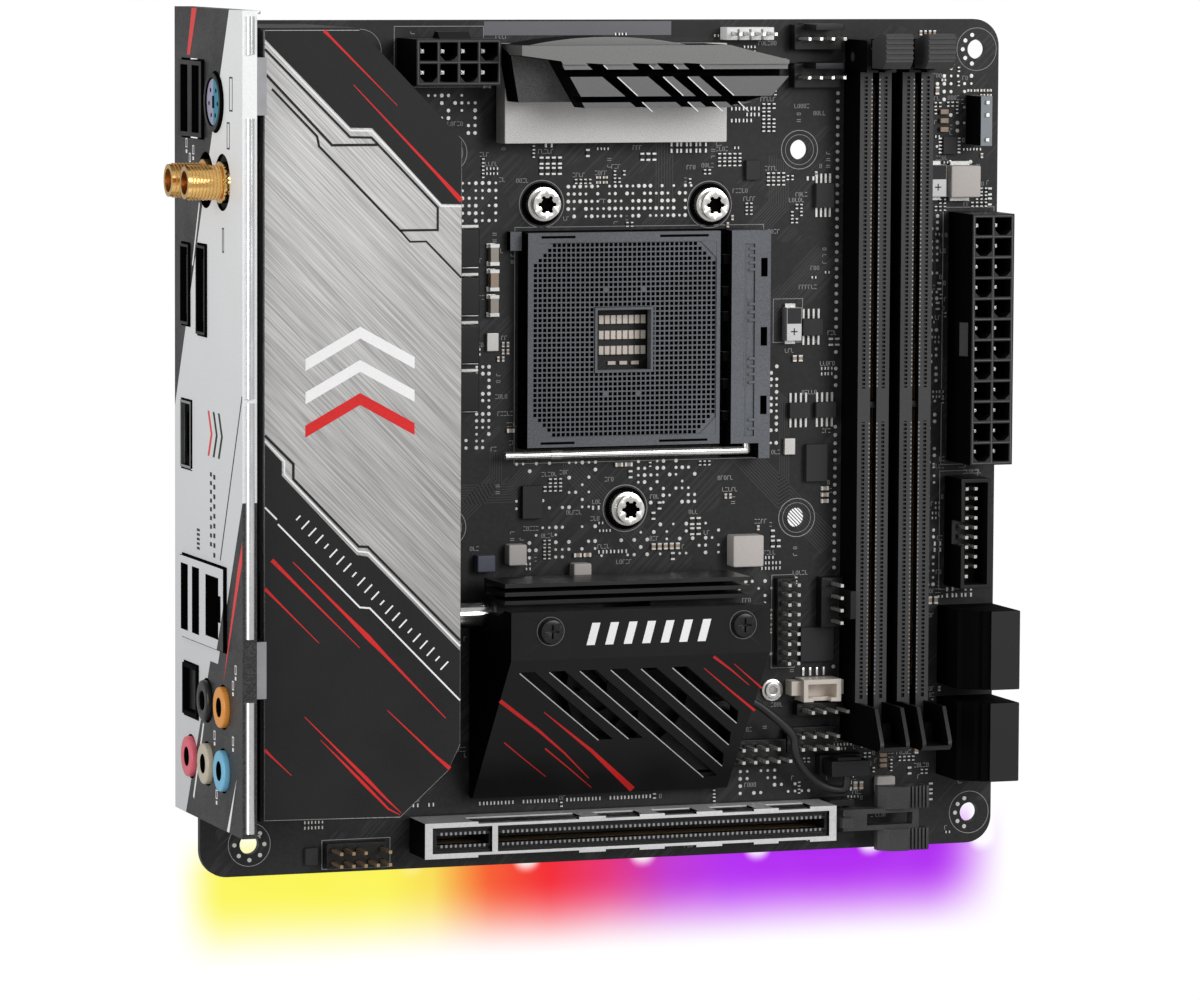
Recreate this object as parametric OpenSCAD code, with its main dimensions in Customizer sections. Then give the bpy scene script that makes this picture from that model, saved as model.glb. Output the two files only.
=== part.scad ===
// A small square computer motherboard with a fitted rear port panel, a port cover,
// a power-stage heatsink, a chipset cooler with a fan, a levered processor socket,
// two latched memory sockets and one armoured expansion slot.
// Every position below is in millimetres on the board: x runs from the port edge
// to the front edge, y along the port edge, z up from the component side.

/* [Circuit board] */
// Side of the square circuit board
board_side = 170; // [169:0.5:171]
// Thickness of the circuit board
board_t = 1.6; // [1.2:0.1:1.8]
// Radius of the board's corners
board_corner_r = 5.5; // [2:0.5:6]
// Radius of the case screw holes
case_hole_r = 1.98; // [1.8:0.01:2.1]
// Radius of the cooler holes round the processor socket
cooler_hole_r = 2; // [1.9:0.05:2.2]
// Spacing of the cooler holes, both ways
cooler_pitch = 75; // [74:0.5:76]

/* [Port panel] */
// Thickness of the port panel's sheet
sheet_t = 0.7; // [0.4:0.1:0.9]
// Height of the panel's upper edge above the board
panel_top = 43.2; // [42:0.1:44]
// Depth that the panel and the backplate reach below the component side
under_reach = 4.2; // [4:0.1:5]
// Distance that the antenna jacks reach past the board's edge
jack_reach = 11.5; // [9:0.5:14]

/* [Port cover] */
// Height of the port cover's metal plate above the board
cover_top = 40; // [39:0.5:41]
// Thickness of the metal plate on the port cover
cover_plate_t = 1.2; // [0.8:0.1:1.6]
// Thickness of the port cover's walls
cover_wall = 1.6; // [1.2:0.1:2]

/* [Heatsinks] */
// Height of the power-stage heatsink
vrm_top = 22; // [20:0.5:24]
// Height of the chipset cover's flat band
chip_cover_top = 27; // [26:0.5:28]
// Thickness of the chipset cover
chip_cover_t = 1.4; // [1:0.1:1.8]
// Radius of the heat pipe
pipe_r = 2.5; // [2:0.1:2.5]
// Radius of the chipset fan's rotor
rotor_r = 11.6; // [10:0.1:11.8]

/* [Sockets] */
// Height of the memory sockets
dimm_h = 9; // [8.5:0.1:9.5]
// Height of the memory sockets' end towers
dimm_tower_h = 22.5; // [20:0.5:23]
// Distance between the two memory sockets
dimm_pitch = 9.2; // [8.9:0.1:9.6]
// Height of the power sockets
power_socket_h = 12.8; // [12:0.1:13.5]
// Height of the expansion slot's metal shell
slot_shell_h = 11.2; // [11:0.1:11.6]
// Radius of the processor socket lever's wire
lever_r = 0.8; // [0.7:0.05:0.85]

/* [Hidden] */
$fn = 48;
tiny = 0.01;
through = 60;

// Port panel
panel_x = -3.9;
panel_y = [14, 172.7];
spring_r = 0.9;

// The row's origin is the centre of the bounding box's bottom face
centre_x = (board_side - jack_reach) / 2;
centre_y = panel_y[1] / 2;

// Holes through the board
case_holes = [[10.16, 6.35], [165.1, 6.35], [165.1, 163.83], [33.02, 163.83]];
socket_centre = [88.9, 106.1];
cooler_holes = [for (i = [-1, 1], j = [-1, 1]) socket_centre + cooler_pitch / 2 * [i, j]];
backplate_screw_spots = [[71.1, 133.2], [107, 132.7], [89.2, 71.5]];
cover_screw_spots = [[31, 146], [33, 38]];
standoff_spot = [121.2, 33.4];

// Pins: 2.54 mm and 2 mm grids of square pins
pin_w = 0.64;
pin_top = 8.5;
pin_tail = -3.4;
pitch = 2.54;
fine_pitch = 2;
function pin_grid(corner, nx, ny, step) =
    [for (i = [0:nx - 1], j = [0:ny - 1]) corner + step * [i, j]];
function without(spots, gap) = [for (p = spots) if (norm(p - gap) > 0.1) p];
fan_1_pins = pin_grid([125.2, 166.2], 4, 1, pitch);
fan_2_pins = pin_grid([125.2, 158.4], 4, 1, pitch);
fan_3_pins = pin_grid([133.2, 47.6], 1, 4, pitch);
rgb_pins = pin_grid([110.3, 167.2], 4, 1, pitch);
argb_pins = without(pin_grid([164.2, 145.6], 1, 4, pitch), [164.2, 148.14]);
row_pins = pin_grid([127.1, 29.4], 4, 1, pitch);
panel_pins = pin_grid([125, 21.9], 4, 2, pitch);
usb2_pins = without(pin_grid([112.1, 19.7], 5, 2, pitch), [122.26, 22.24]);
audio_pins = without(pin_grid([26.8, 2.3], 5, 2, pitch), [34.42, 4.84]);
tpm_pins = pin_grid([122.6, 39.4], 2, 9, fine_pitch);
usb3_pins = without(pin_grid([161.3, 56.1], 2, 10, fine_pitch), [163.3, 56.1]);
tall_pins = concat(fan_1_pins, fan_2_pins, fan_3_pins, rgb_pins, argb_pins, row_pins,
    panel_pins, usb2_pins, audio_pins);
short_pins = concat(tpm_pins, usb3_pins);

// Power sockets
cell = 4.2;
cell_hole = 3.5;
socket_rim = 0.8;
power_pin_w = 1.07;
atx_corner = [159.3, 79.5];
eps_corner = [40.6, 157.3];
function cell_centres(corner, nx, ny) =
    pin_grid(corner + (socket_rim / 2 + cell / 2) * [1, 1], nx, ny, cell);
power_pin_spots = concat(cell_centres(atx_corner, 2, 12), cell_centres(eps_corner, 4, 2));

// Memory sockets
dimm_x = 139.4;
dimm_y = [31.2, 159.5];
dimm_half_w = 3.4;
tower_half_w = 3.2;
latch_pivot = [162.5, 4];
latch_pin_r = 1;
running_gap = 0.08;

// Processor socket
socket_x = [66.2, 109.6];
socket_y = [84.2, 127.8];
cam_x = [109.6, 118];
cam_y = [81.5, 127.7];
cam_h = 6.2;
lever_pivot = [114, 3.4];
lever_y = 83;
lever_tip_x = 62.4;

// Expansion slot
slot_x = [43.3, 131.3];
slot_y = [3.4, 10.6];
slot_mid_y = 7;
slot_latch_pivot = [135, 3.2];
slot_notches = [[53.7, 76.6], [80.7, 89.5], [93.3, 101.7], [105.7, 114.1], [117.9, 126.3]];

// Ports in the panel, as y and z ranges
stack_1_y = [147.6, 162.4];
stack_2_y = [49, 65];
usb_rows = [[2.4, 7.5], [10.4, 15.5]];
usb_w = 13.1;
ps2_spot = [154.8, 24.6];
lan_y = [51, 63];
lan_z = [20, 29];
hdmi_y = [111.2, 125.8];
hdmi_z = [1.4, 6.2];
dp_y = [109.9, 126.1];
dp_z = [12.8, 18];
usb_c_y = [82.4, 95.6];
usb_c_z = [0.6, 8];
optical_y = [33.6, 43.8];
optical_z = [2.4, 12.6];
shutter_hinge = [-2.9, 11.4];
antenna_spots = [[139.5, 18], [139.5, 29.5]];
antenna_r = 3.175;
antenna_hole_r = 5.5;
jack_r = 1.8;
jack_ring_r = 4;
jack_spots = [[38, 18.6], [38, 30.2], [25.6, 7.4], [25.6, 18.9], [25.6, 30.2]];

// Port cover's plan outline, clockwise
cover_outline = [[1, 169.3], [20.5, 169.3], [41.5, 147.7], [41.5, 30], [39, 25], [29, 16], [1, 16.5]];

// Chipset cooler
chip_cover_x = [55.9, 110.5];
chip_band_y = [44.5, 54.1];
chip_foot = [14.1, 3];
chip_screw_spots = [[64.1, 50.2], [104.7, 50.2]];
// Plan outlines of the slots in the sloping face: top left, top right, then the lower end
chip_slots = [
    [[58.5, 42], [61.4, 42], [82.4, 26.3], [79.5, 26.3]],
    [[64.7, 42], [67.8, 42], [88.8, 26.3], [85.9, 26.3]],
    [[71.1, 42], [74.3, 42], [107.6, 17], [104.8, 16.8]],
    [[77.6, 42], [80.8, 42], [107.4, 22], [108, 19.2]],
    [[84, 42], [87.1, 42], [107.5, 26.8], [108, 24]],
    [[90.6, 42], [93.6, 42], [107.6, 31.6], [108.2, 28.9]]];
fan_spot = [88, 36];
fan_floor_z = 3.2;
fan_top_z = 7.2;
pipe_y = 51.8;
pipe_z = 9;
pipe_bend_r = 6;
pipe_run_x = 31;

// Fan lead: centre line, chosen by hand
cable_r = 0.9;
cable_sides = 8;
cable_route = [[102.4, 33, 5.4], [106, 33, 5.4], [111, 33.2, 5.6], [115, 32, 6.4], [118.5, 29.3, 7],
    [121.4, 26.8, 7.2], [123.6, 24.6, 7.2], [123.6, 21.4, 7.2], [125.4, 18.2, 6.4], [128.6, 15, 5.4],
    [132, 13.2, 5.2], [135.4, 12.8, 5.6], [135.6, 14.4, 6], [135.6, 16, 6]];

// ---- Shared shapes ----

// A block given by its ranges along x, y and z
module box(x, y, z)
    translate([x[0], y[0], z[0]])
        cube([x[1] - x[0], y[1] - y[0], z[1] - z[0]]);

// A cylinder along x, from x[0] to x[1], on the line through p = [y, z]
module rod_x(x, p, r)
    translate([x[0], p[0], p[1]])
        rotate([0, 90, 0])
            cylinder(h = x[1] - x[0], r = r);

// A cylinder along y, from y[0] to y[1], on the line through p = [x, z]
module rod_y(y, p, r)
    translate([p[0], y[1], p[1]])
        rotate([90, 0, 0])
            cylinder(h = y[1] - y[0], r = r);

// A cylinder along z, from z[0] to z[1], at p = [x, y]
module rod_z(z, p, r)
    translate([p[0], p[1], z[0]])
        cylinder(h = z[1] - z[0], r = r);

// A square post centred on each spot
module posts(spots, w, z)
    for (p = spots)
        box([p[0] - w / 2, p[0] + w / 2], [p[1] - w / 2, p[1] + w / 2], z);

// A plan outline raised from z[0] to z[1]
module slab(outline, z)
    translate([0, 0, z[0]])
        linear_extrude(z[1] - z[0])
            polygon(outline);

// A y-z profile drawn along x
module along_x(profile, x)
    translate([x[0], 0, 0])
        rotate([90, 0, 90])
            linear_extrude(x[1] - x[0])
                polygon(profile);

// An x-z profile drawn along y
module along_y(profile, y)
    translate([0, y[1], 0])
        rotate([90, 0, 0])
            linear_extrude(y[1] - y[0])
                polygon(profile);

// A clockwise outline moved inwards by t
function inward(a, b) = [b[1] - a[1], a[0] - b[0]] / norm(b - a);
function inset(points, t) = let (n = len(points)) [for (i = [0:n - 1])
    let (u = inward(points[(i + n - 1) % n], points[i]), v = inward(points[i], points[(i + 1) % n]))
        points[i] + t * (u + v) / (1 + u * v)];

function grown(range, gap) = [range[0] - gap, range[1] + gap];
function around(c, half) = [c - half, c + half];

// A cross recess for a screw head whose top is at z
module cross_recess(p, z, reach, depth) {
    bar = reach / 3.2;
    for (turn = [0, 90])
        translate([p[0], p[1], z - depth])
            rotate(turn)
                translate([-reach, -bar / 2, 0])
                    cube([2 * reach, bar, depth + 1]);
}

// A six-lobed recess for a screw head whose top is at z
module star_recess(p, z, reach, depth)
    translate([p[0], p[1], z - depth]) {
        cylinder(h = depth + 1, r = reach * 0.72);
        for (i = [0:5])
            rotate(i * 60)
                translate([reach * 0.78, 0, 0])
                    cylinder(h = depth + 1, r = reach * 0.22);
    }

// ---- Circuit board ----

module pcb() {
    side = [board_corner_r, board_side - board_corner_r];
    full = [0, board_side];
    slab_z = [-board_t, 0];
    cut_z = [-board_t - 1, 1];
    color("#1f2023")
        difference() {
            union() {
                box(side, full, slab_z);
                box(full, side, slab_z);
                for (x = side, y = side)
                    rod_z(slab_z, [x, y], board_corner_r);
            }
            for (p = case_holes)
                rod_z(cut_z, p, case_hole_r);
            for (p = cooler_holes)
                rod_z(cut_z, p, cooler_hole_r);
            for (p = backplate_screw_spots)
                rod_z(cut_z, p, 2);
            for (p = cover_screw_spots)
                rod_z(cut_z, p, 1.6);
            rod_z(cut_z, standoff_spot, 1.8);
            posts(concat(tall_pins, short_pins), pin_w + 0.2, cut_z);
            posts(power_pin_spots, power_pin_w + 0.2, cut_z);
        }
}

// ---- Port panel ----

module port_windows() {
    deep = [panel_x - 1, panel_x + sheet_t + 1];
    gap = 0.4;
    box(deep, grown(stack_1_y, gap), [usb_rows[0][0] - 1.6, usb_rows[1][1] + 1.6]);
    rod_x(deep, ps2_spot, 6);
    box(deep, grown(stack_2_y, gap), [usb_rows[0][0] - 1.6, 32.6]);
    box(deep, grown(hdmi_y, 1), grown(hdmi_z, 1));
    box(deep, grown(dp_y, 1), grown(dp_z, 1));
    box(deep, grown(usb_c_y, gap), grown(usb_c_z, gap));
    box(deep, grown(optical_y, gap), grown(optical_z, gap));
    for (p = antenna_spots)
        rod_x(deep, p, antenna_hole_r);
    for (p = jack_spots)
        rod_x(deep, p, jack_ring_r + 0.4);
}

module io_shield() {
    z = [-under_reach, panel_top];
    face = [panel_x, panel_x + sheet_t];
    tab_edge = 0.9;
    color("#aeb1b6")
        difference() {
            union() {
                box(face, panel_y, z);
                box([panel_x, -1], panel_y, [z[1] - sheet_t, z[1]]);
                box([panel_x, -0.8], panel_y, [z[0], z[0] + sheet_t]);
                box([panel_x, -0.3], [panel_y[0], panel_y[0] + sheet_t], z);
                box([panel_x, -0.3], [panel_y[1] - sheet_t, panel_y[1]], z);
                for (y = [[41, 52], [152.8, 163.8]])
                    box([panel_x, tab_edge], y, [z[1] - sheet_t, z[1]]);
            }
            port_windows();
        }
}

module shield_springs() {
    runs = [[15, 40.4], [52.6, 98], [98.8, 152.2], [164.4, 171.6]];
    color("#d6d8db")
        for (y = runs)
            intersection() {
                rod_y(y, [-2.4, panel_top], spring_r);
                box([-4, 0], y, [panel_top, panel_top + 2]);
            }
}

// ---- Port cover ----

module io_cover() {
    roof = cover_top - cover_plate_t;
    inner = inset(cover_outline, cover_wall);
    lug_y = [[41, 52], [152.8, 163.8]];
    post_r = 2.8;
    color("#26272b")
        difference() {
            union() {
                difference() {
                    slab(cover_outline, [0, roof]);
                    slab(inner, [-1, roof - cover_wall]);
                    box([-1, 3], [18, 167.8], [-1, roof - cover_wall]);
                }
                for (p = cover_screw_spots)
                    rod_z([0, roof - tiny], p, post_r);
                for (y = lug_y) {
                    box([-2.8, 3], y, [roof - 2.4, roof]);
                    box([-2.8, 0.9], y, [roof - 2.4, panel_top - sheet_t]);
                }
            }
            for (p = cover_screw_spots)
                rod_z([-1, 12], p, 1.3);
            box([38, 44], grown([pipe_y, pipe_y], pipe_r + 1), [-1, pipe_z + pipe_r + 1]);
        }
}

module io_cover_plate()
    color("#b8babd")
        slab(inset(cover_outline, 0.4), [cover_top - cover_plate_t, cover_top]);

module io_cover_screws() {
    head_z = [-board_t - 1.6, -board_t];
    color("#8d8f94")
        for (p = cover_screw_spots)
            difference() {
                union() {
                    rod_z(head_z, p, 2.6);
                    rod_z([-board_t, 10], p, 1.25);
                }
                mirror([0, 0, 1])
                    cross_recess(p, -head_z[0], 1.6, 0.9);
            }
}

// ---- Power-stage cooling ----

vrm_x = [59.4, 115.6];
vrm_y = [153, 165.4];
vrm_base_top = 7;
vrm_pad_z = [1, 1.6];
vrm_step_z = 14;

module vrm_heatsink() {
    back = vrm_y[1];
    front = vrm_y[0];
    plan = [[vrm_x[0], back], [103, back], [105.7, 164.7], [vrm_x[1], 162.4], [115.4, 159],
        [111.5, 154.9], [104, front], [73, front], [67.5, 162.3], [vrm_x[0], 163.4]];
    lower = [[vrm_x[0], back], [103, back], [110, 162], [110, front + 1], [vrm_x[0] + 2, front + 1]];
    bulge_r = 86;
    bulge_spot = [78, 167 - bulge_r];
    cut_depth = 5;
    cut_starts = [72.7, 82.3, 87.5, 93];
    cut = [[0, 161.9], [3.6, 161.7], [5, 160.4], [14.6, 152], [12.4, 152]];
    color("#6f6e6d")
        difference() {
            union() {
                slab(lower, [vrm_base_top, vrm_step_z + tiny]);
                slab(plan, [vrm_step_z, vrm_top]);
                intersection() {
                    rod_z([vrm_base_top, vrm_top - 2], bulge_spot, bulge_r);
                    box([60.5, 95], [back - 0.5, back + 3], [vrm_base_top, vrm_top - 2]);
                }
            }
            box([64, 120], [160.5, 161.6], [vrm_top - 0.7, vrm_top + 1]);
            box([64, 120], [159.2, 160.6], [vrm_top - cut_depth, vrm_top + 1]);
            box([64, 120], [154.1, 155.3], [vrm_top - cut_depth, vrm_top + 1]);
            box([64, 120], [front - 1, 154.2], [vrm_top - 1.4, vrm_top + 1]);
            for (x = cut_starts)
                translate([x, 0])
                    slab(cut, [vrm_top - cut_depth, vrm_top + 1]);
        }
}

module vrm_heatsink_base()
    color("#a9a8a6")
        box([60.9, 108], [145.6, vrm_y[1]], [vrm_pad_z[1], vrm_base_top]);

module vrm_thermal_pads()
    color("#9aa7b5")
        for (y = [[147, 152], [156.4, 161.4]])
            box([62, 107], y, vrm_pad_z);

module heat_pipe() {
    corner = [pipe_run_x + pipe_bend_r, pipe_y + pipe_bend_r];
    color("#b9bbbd") {
        rod_x([corner[0], 78], [pipe_y, pipe_z], pipe_r);
        translate([corner[0], corner[1], pipe_z])
            rotate(180)
                rotate_extrude(angle = 90)
                    translate([pipe_bend_r, 0])
                        circle(r = pipe_r);
        rod_y([corner[1], 126], [pipe_run_x, pipe_z], pipe_r);
    }
}

module io_heat_block()
    color("#8b8c8f")
        difference() {
            union() {
                box([24.5, 37.5], [62, 128], [3, 14]);
                for (i = [0:5])
                    box([24.5 + i * 2.4, 25.5 + i * 2.4], [62, 128], [14 - tiny, 26]);
            }
            rod_y([61, 126.5], [pipe_run_x, pipe_z], pipe_r + 0.02);
        }

// ---- Chipset cooler ----

module chipset_ic()
    color("#2c2f33") {
        box([76, 100], [23, 47], [0, 1.2]);
        box([82, 94], [29, 41], [1.2, 2]);
    }

module chipset_heatsink() {
    base_z = [2, fan_floor_z];
    fin_t = 0.8;
    floor_z = [5, 6.2];
    color("#3a3a3c")
        difference() {
            union() {
                box([58, 108.8], [18, 55], base_z);
                box([57.6, 80], [49, 55], [fan_floor_z - tiny, 13]);
                box([90, 109.6], [53, 55], [fan_floor_z - tiny, 13]);
                box([57.6, 109.6], [53, 58.8], floor_z);
                for (y = [54.6, 56.3, 58])
                    box([57.6, 109.6], [y, y + fin_t], [floor_z[0], 18]);
                rod_z([12.9, chip_cover_top - chip_cover_t], chip_screw_spots[0], 2.4);
                rod_z([fan_floor_z - tiny, chip_cover_top - chip_cover_t], chip_screw_spots[1], 2.4);
            }
            rod_x([50, 78.5], [pipe_y, pipe_z], pipe_r + 0.02);
            for (p = chip_screw_spots)
                rod_z([15, 30], p, 1.05);
        }
}

// The cover's outer and inner y-z profiles
chip_cover_outer = [[chip_foot[0], 1], [chip_foot[0], chip_foot[1]], [chip_band_y[0], chip_cover_top],
    [chip_band_y[1], chip_cover_top], [chip_band_y[1], chip_cover_top - 4],
    [chip_band_y[1] - chip_cover_t, 19.2], [chip_band_y[1] - chip_cover_t, 1]];

module chipset_cover() {
    inner = [[chip_foot[0] + chip_cover_t, -1], [chip_foot[0] + chip_cover_t, chip_foot[1] - 0.6],
        [chip_band_y[0] + 0.6, chip_cover_top - chip_cover_t],
        [chip_band_y[1] - chip_cover_t, chip_cover_top - chip_cover_t], [chip_band_y[1] + 2, 19.2],
        [chip_band_y[1] + 2, -1]];
    x = chip_cover_x;
    color("#2b2b2d")
        difference() {
            along_x(chip_cover_outer, x);
            along_x(inner, [x[0] + chip_cover_t, x[1] - chip_cover_t]);
            for (outline = chip_slots)
                slab(outline, [4, 34]);
            for (p = chip_screw_spots)
                rod_z([15, 30], p, 1.2);
            box([x[1] - 3, x[1] + 1], [30.5, 36.5], [-1, 8]);
            box([x[0] - 1, x[0] + 3], [48.6, 56], [-1, 12.4]);
        }
}

module chipset_cover_screws()
    color("#1c1c1e")
        for (p = chip_screw_spots)
            difference() {
                union() {
                    rod_z([chip_cover_top, chip_cover_top + 1.2], p, 2.3);
                    rod_z([18, chip_cover_top], p, 1);
                }
                cross_recess(p, chip_cover_top + 1.2, 1.4, 0.8);
            }

module chipset_fan_frame() {
    ring_z = [fan_floor_z, fan_top_z];
    ring_r = rotor_r + 2;
    color("#1b1c1e") {
        difference() {
            rod_z(ring_z, fan_spot, ring_r);
            rod_z([fan_floor_z + 0.4, fan_top_z + 1], fan_spot, rotor_r + 0.7);
        }
        rod_z([fan_floor_z, fan_top_z - 1], fan_spot, 1);
        difference() {
            box([fan_spot[0] + ring_r - 1, cable_route[0][0]], [31.6, 34.4], [4.2, 6.6]);
            rod_z([3, 8], fan_spot, ring_r - 0.5);
        }
    }
}

module chipset_fan_rotor() {
    hub_r = 5;
    low = fan_floor_z + 0.8;
    blade_t = 0.7;
    blades = 11;
    color("#232427")
        difference() {
            union() {
                rod_z([low, fan_top_z - 0.2], fan_spot, hub_r);
                for (i = [0:blades - 1])
                    translate([fan_spot[0], fan_spot[1], low])
                        rotate(i * 360 / blades)
                            translate([hub_r - 0.4, 0, 0])
                                rotate(-28)
                                    cube([rotor_r - hub_r - 0.4, blade_t, fan_top_z - low - 0.6]);
            }
            rod_z([low - 1, fan_top_z - 0.8], fan_spot, 1 + running_gap);
        }
}

// Rings of a tube swept along the route, joined into one closed surface
function unit(v) = v / norm(v);
function tangent(route, i) =
    unit(route[min(i + 1, len(route) - 1)] - route[max(i - 1, 0)]);
function ring(route, i, r, sides) =
    let (t = tangent(route, i), u = unit(cross([0, 0, 1], t)), w = cross(t, u))
        [for (k = [0:sides - 1])
            route[i] + r * (cos(360 * k / sides) * u + sin(360 * k / sides) * w)];

module tube(route, r, sides) {
    n = len(route);
    points = [for (i = [0:n - 1]) each ring(route, i, r, sides)];
    start = [for (k = [0:sides - 1]) k];
    end = [for (k = [sides - 1:-1:0]) (n - 1) * sides + k];
    walls = [for (i = [0:n - 2], k = [0:sides - 1])
        [i * sides + k, (i + 1) * sides + k, (i + 1) * sides + (k + 1) % sides,
            i * sides + (k + 1) % sides]];
    polyhedron(points, concat([start], walls, [end]));
}

// Rounds the route's corners with two passes of corner cutting
function cut_corners(p) = concat([p[0]],
    [for (i = [0:len(p) - 2]) each [0.75 * p[i] + 0.25 * p[i + 1], 0.25 * p[i] + 0.75 * p[i + 1]]],
    [p[len(p) - 1]]);

module fan_cable()
    color("#141416")
        tube(cut_corners(cable_route), cable_r, cable_sides);

module fan_cable_plug()
    color("#19191b") {
        box([131.4, 139.8], [16, 19.2], [3, 8.2]);
        box([133, 138.2], [19.2, 19.8], [4, 7.4]);
    }

// ---- Processor socket ----

module cpu_socket_base() {
    window = [[81, 94.4], [98.8, 112.4]];
    hook_y = [121.9, 115.4, 110.3, 102.2, 96.7, 90.2];
    color("#3b3e44")
        difference() {
            union() {
                box([socket_x[0], cam_x[0] + 1], socket_y, [0, 2.5]);
                box(cam_x, cam_y, [0, cam_h]);
                box([63.8, 67], [124, 127.8], [0, 2.2]);
                box([77, 81.5], [84.1, 85], [0, 2.5]);
                for (y = hook_y)
                    box([108.2, cam_x[0] + 0.2], around(y, 0.9), [2.4, 5.2]);
            }
            box(window[0], window[1], [-1, 4]);
            rod_y([cam_y[0] - 1, 126.4], lever_pivot, lever_r + running_gap);
            box([109, 115.6], [cam_y[0] - 1, 84.6], [1.6, cam_h + 1]);
            for (y = [[118.3, 122.1], [104.3, 108.1], [90.4, 94.2]])
                box([115.9, 117.3], y, [2, cam_h + 1]);
            box([112.4, 114.6], [86, 125], [5.8, cam_h + 1]);
        }
}

module cpu_socket_plate() {
    x = [66.6, 107.6];
    y = [84.6, 127.6];
    z = [2.8, 4.6];
    rim_z = 5;
    color("#464a52")
        difference() {
            union() {
                box(x, y, z);
                box(x, [125.6, y[1]], [z[0], rim_z]);
                box(x, [y[0], 86.8], [z[0], rim_z]);
                box([x[0], 67.6], y, [z[0], rim_z]);
                box([105.9, x[1]], y, [z[0], rim_z]);
            }
            box([81.4, 92.8], [99.9, 112], [0, 6]);
            for (slot_y = [[126.6, 127], [85.4, 85.8]]) {
                box([69.4, 76.6], slot_y, [3.6, 6]);
                box([94.6, 105], slot_y, [3.6, 6]);
            }
            for (step_y = [[126.1, 127.7], [84.5, 86.2]])
                box([77.2, 92.6], step_y, [4.7, 6]);
        }
}

module cpu_socket_lever()
    color("#c9cacc") {
        rod_x([lever_tip_x, lever_pivot[0]], [lever_y, lever_pivot[1]], lever_r);
        rod_x([lever_tip_x + 9.6, lever_tip_x + 12], [lever_y, lever_pivot[1]], lever_r + 0.15);
        translate([lever_pivot[0], lever_y, lever_pivot[1]])
            sphere(r = lever_r);
        rod_y([lever_y, 126], lever_pivot, lever_r);
    }

module socket_capacitors()
    color("#cfc7b8") {
        for (i = [0:7], y = [109.8, 106.7, 103.6])
            box(around(83.6 + i * 1.28, 0.48), around(y, 0.85), [0, 0.9]);
        for (i = [0:2])
            box(around(86 + i * 2.5, 0.8), around(101, 0.35), [0, 0.5]);
    }

module cpu_backplate() {
    z = [-under_reach, -2.4];
    color("#3c3d40")
        difference() {
            union() {
                box([62, 116], [66, 138], z);
                for (p = backplate_screw_spots)
                    rod_z([z[0], -board_t], p, 4);
            }
            box(around(socket_centre[0], 8), around(socket_centre[1], 8), [-10, 0]);
            for (p = backplate_screw_spots)
                rod_z([-10, 0], p, 1.65);
            for (x = [62, 116], y = [66, 138])
                translate([x, y, -10])
                    rotate(45)
                        cube([9, 9, 20], center = true);
        }
}

module backplate_screws()
    color("#c4c2bf")
        for (p = backplate_screw_spots)
            difference() {
                union() {
                    rod_z([-under_reach + 0.4, 0], p, 1.6);
                    rod_z([0, 1.6], p, 3.4);
                    rod_z([1.6, 3.6], p, 2.9);
                }
                star_recess(p, 3.6, 1.9, 1.6);
            }

// ---- Memory sockets ----

module dimm_slot(c) {
    gap = 0.7;
    key_y = 92;
    upper = [dimm_y[1] - tiny, 166];
    lower = [22.6, dimm_y[0] + tiny];
    tower = [[lower[0], 0], [lower[0], dimm_tower_h - 1], [lower[0] + 0.8, dimm_tower_h],
        [lower[0] + 2, dimm_tower_h], [lower[1], dimm_tower_h - 3.4], [lower[1], 0]];
    difference() {
        union() {
            box(around(c, dimm_half_w), dimm_y, [0, dimm_h]);
            along_x(tower, around(c, tower_half_w));
            box(around(c, tower_half_w), upper, [0, 12]);
        }
        difference() {
            box(around(c, gap), [25, 160], [2, dimm_tower_h + 1]);
            box(around(c, 2), around(key_y, 0.6), [0, 8]);
        }
        for (s = [-1, 1])
            box(around(c + s * (gap + 0.15), 0.17), [34, 157], [3, 7]);
        box(around(c, 2.4), [27.2, 32], [dimm_h, dimm_tower_h + 1]);
        box(around(c, 2.4), [23.6, 27.4], [14, dimm_tower_h + 1]);
        box(around(c, 2.4), [23.6, 30], [16.5, dimm_tower_h + 1]);
        box(around(c, 2.3), [160, 167], [0.6, 13]);
        rod_x(around(c, 10), latch_pivot, latch_pin_r + running_gap);
        for (s = [-1, 1])
            box(around(c + s * 2.15, 0.35), [32, 158.6], [dimm_h - 0.5, dimm_h + 1]);
    }
}

module dimm_slot_1()
    color("#202124")
        dimm_slot(dimm_x);

module dimm_slot_2()
    color("#202124")
        dimm_slot(dimm_x + dimm_pitch);

module dimm_latch(c) {
    blade = around(c, 2);
    head = around(c, 2.9);
    ridge_count = 5;
    rod_x(around(c, 3.1), latch_pivot, latch_pin_r);
    box(blade, [161.2, 164.2], [1.6, 13]);
    box(blade, [160.4, 165], [12.5, 16]);
    along_x([[160.4, 14], [166, 14], [167.4, 19], [167.4, 21.4], [161.8, 21.4], [160.4, 20]], head);
    for (i = [0:ridge_count - 1])
        box(head, [162.4 + i, 162.9 + i], [21.3, 21.8]);
}

module dimm_latch_1()
    color("#3a3b3f")
        dimm_latch(dimm_x);

module dimm_latch_2()
    color("#3a3b3f")
        dimm_latch(dimm_x + dimm_pitch);

module slot_contacts()
    color("#c9a24a") {
        for (c = [dimm_x, dimm_x + dimm_pitch], s = [-1, 1], y = [[34.2, 91.2], [92.8, 156.8]])
            box(around(c + s * 0.86, 0.12), y, [3.2, 6.8]);
        for (s = [-1, 1], x = [[46.2, 56.8], [59.2, 128.8]])
            box(x, around(slot_mid_y + s * 1.1, 0.12), [3.2, 7.8]);
    }

// ---- Power sockets ----

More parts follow.
